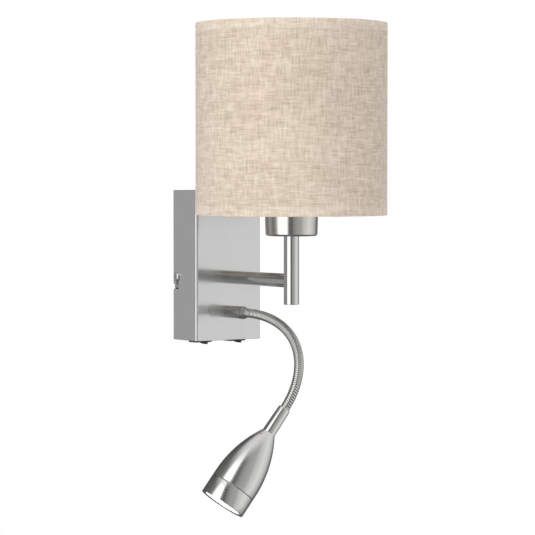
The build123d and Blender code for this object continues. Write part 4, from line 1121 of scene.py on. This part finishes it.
# ------------------------------------------------------------------ nodes that keep their own mesh
NODE_PAINTS = {
    "zinc": ["wall_bracket", "terminal_screws", "panel_nuts", "panel_washers", "arm_threaded_tube", "post_top_bush",
             "holder_nipple"],
    "screw_steel": ["cover_screws"],
    "brass": ["earth_screw", "switch_tabs", "lampholder_screw_shell", "lampholder_contact"],
    "rubber": ["cable_grommet", "lens_seal"],
    "terminal_plastic": ["terminal_block"],
    "white_plastic": ["led_driver", "lampholder_shell", "shade_ring_nut"],
    "white_wire": ["shade_carrier", "shade_top_ring"],
    "reflector": ["head_reflector"],
    "solder_mask": ["led_board"],
    "aluminium": ["heat_sink"],
    "wire_sleeving": ["supply_wires", "lamp_wires", "led_wires"],
}


def dress_nodes(paints: dict[str, bpy.types.Material], nodes: dict[str, bpy.types.Object]) -> None:
    """Gives each node that shows its own mesh the finish of the real piece."""
    for paint, names in NODE_PAINTS.items():
        for name in names:
            mesh = nodes[name].data
            mesh.materials.clear()
            mesh.materials.append(paints[paint])
            LOG.info("%s: %s", name, paint)


# ------------------------------------------------------------------ studio
@dataclass
class Studio:
    """A white studio: soft light from bright and dark panels all round, a pale floor and the camera."""

    heading: float = math.radians(35.07)  # turns the camera's side of the studio to -Y
    floor_height: float = -0.62
    floor_radius: float = 1.5
    camera_at: Vector = Vector((-1.39262, -2.08959, 0.09204))
    camera_aim: Vector = Vector((-0.01463, -0.12673, 0.00075))
    lens: float = 171.26
    overhead: tuple[float, float, float] = (0.95, 0.68, 1.0)  # brightness, and the rise where it starts and is full
    below: tuple[float, float, float] = (0.14, -0.42, -0.78)
    card_heading: float = math.radians(-111)
    card_light: float = 0.22

    def build(self) -> None:
        """Sets the world, lights, floor and camera."""
        scene = bpy.context.scene
        scene.view_settings.view_transform = "Standard"
        scene.view_settings.look = "None"
        self.panels()
        self.floor()
        self.camera()
        self.lamp("key_light", (-2.6, -1.5, 1.1), 1.6, 34)
        self.lamp("fill_light", (2.2, -1.2, 0.6), 1.6, 9)
        self.lamp("top_light", (0.0, -0.5, 2.2), 1.4, 12)

    def panels(self) -> None:
        """The world: panels of light that go round by compass, paler overhead and darker below."""
        world = bpy.data.worlds.new("studio")
        bpy.context.scene.world = world
        nodes = Nodes(world)
        world.node_tree.nodes.clear()
        way = nodes.add("TexCoord").outputs["Generated"]
        rise = nodes.add("SeparateXYZ", {0: way}).outputs["Z"]
        headed = nodes.add("VectorRotate", {"Vector": way, "Angle": self.heading}, rotation_type="Z_AXIS")
        flat = nodes.add("SeparateXYZ", {0: headed.outputs[0]}).outputs
        compass = nodes.sum(flat["X"], nodes.sum(flat["Y"], -1.0, "MULTIPLY"), "ARCTAN2")
        share = nodes.sum(nodes.sum(compass, 2 * math.pi, "DIVIDE"), 0.5)
        stops = [((degrees + 180) / 360, (value / 2,) * 3) for degrees, value in self.panel_stops()]
        ring = nodes.sum(nodes.ramp(share, stops), 2.0, "MULTIPLY")
        level = nodes.sum(ring, self.side_card(nodes, compass, rise))
        ends = []
        for brightness, start, end in (self.overhead, self.below):
            change = nodes.sum(brightness, level, "SUBTRACT")
            ends.append(nodes.sum(change, nodes.fade(rise, start, end), "MULTIPLY"))
        total = nodes.sum(level, nodes.sum(ends[0], ends[1]))
        soft = nodes.add("Background", {"Strength": total, "Color": WHITE})
        white = nodes.add("Background", {"Strength": 1.0, "Color": WHITE})
        seen = nodes.add("LightPath").outputs["Is Camera Ray"]
        mix = nodes.add("MixShader", {0: seen, 1: soft.outputs[0], 2: white.outputs[0]})
        nodes.add("OutputWorld", {"Surface": mix.outputs[0]})

    def side_card(self, nodes: Nodes, compass: object, rise: object) -> bpy.types.NodeSocket:
        """Light from a narrow card that stands level with the lamp and lights the cover's flank."""
        away = nodes.sum(nodes.sum(compass, self.card_heading, "SUBTRACT"), 0.0, "ABSOLUTE")
        across = nodes.fade(away, math.radians(9), math.radians(19), 1.0, 0.0)
        over = nodes.fade(rise, 0.08, 0.25, 1.0, 0.0)
        return nodes.sum(nodes.sum(across, over, "MULTIPLY"), self.card_light, "MULTIPLY")

    def panel_stops(self) -> list[Ring]:
        """Brightness of the panels by compass degrees from the camera's side, to its left below zero."""
        return [
            (-180, 0.10), (-150, 0.12), (-120, 0.16), (-95, 0.20), (-80, 0.28), (-70, 0.45), (-60, 1.6), (-52, 1.9),
            (-40, 1.9), (-36, 1.25), (-32, 1.8), (-21, 1.9), (-13, 0.17), (2, 0.15), (10, 0.34), (27, 0.48),
            (44, 0.52), (56, 0.78), (68, 0.86), (82, 1.02), (98, 0.9), (122, 0.62), (138, 0.25), (152, 0.15),
            (180, 0.10),
        ]

    def lamp(self, name: str, at: Sequence[float], size: float, power: float) -> None:
        """A large soft lamp aimed at the shade, which doesn't show in the metal."""
        light = bpy.data.lights.new(name, "AREA")
        light.shape, light.size, light.energy = "DISK", size, power
        holder = bpy.data.objects.new(name, light)
        bpy.context.scene.collection.objects.link(holder)
        holder.location = at
        aim = Vector((0, -0.13, 0.05)) - Vector(at)
        holder.rotation_euler = aim.to_track_quat("-Z", "Y").to_euler()
        holder.visible_glossy = False
        holder.visible_camera = False

    def floor(self) -> None:
        """A pale round floor below the lamp."""
        deselect()
        bpy.ops.mesh.primitive_circle_add(
            vertices=128, radius=self.floor_radius, fill_type="NGON", location=(0, -0.1, self.floor_height)
        )
        floor = bpy.context.object
        floor.name = "studio_floor"
        nodes = Nodes(bpy.data.materials.new("floor_paint"))
        cloud = nodes.noise(nodes.place((3, 3, 3), own=False))
        paint = nodes.finish(Base_Color=nodes.ramp(cloud, [(0.3, (0.86,) * 3), (0.7, (0.89,) * 3)]), Roughness=0.7)
        floor.data.materials.append(paint)
        floor.visible_glossy = False

    def camera(self) -> None:
        """The camera, level with the lamp and to its left."""
        data = bpy.data.cameras.new("camera")
        data.lens, data.sensor_width = self.lens, 36
        data.clip_start, data.clip_end = 0.05, 60
        camera = bpy.data.objects.new("camera", data)
        bpy.context.scene.collection.objects.link(camera)
        camera.location = self.camera_at
        camera.rotation_euler = (self.camera_aim - self.camera_at).to_track_quat("-Z", "Y").to_euler()
        bpy.context.scene.camera = camera


def main() -> None:
    """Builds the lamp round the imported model."""
    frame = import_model()
    nodes, joints = frame["nodes"], frame["joints"]
    low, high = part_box("shade_fabric")
    axis = ((low.x + high.x) / 2, (low.y + high.y) / 2)
    paints = mix_paints(axis, (high.x - low.x) / 2, (low.z, high.z))
    fitter = Fitter(paints)
    WallBox(fitter, joints).build()
    FixedArm(fitter).build()
    DrumShade(fitter).build()
    Bulb(fitter).build()
    path = ReadingArm(fitter, joints).build()
    ReadingHead(fitter, path.frame(1.0)).build()
    dress_nodes(paints, nodes)
    Studio().build()
    LOG.info("%d new pieces", fitter.count)


if __name__ == "__main__":
    logging.basicConfig(level=logging.INFO, format="%(message)s")
    main()
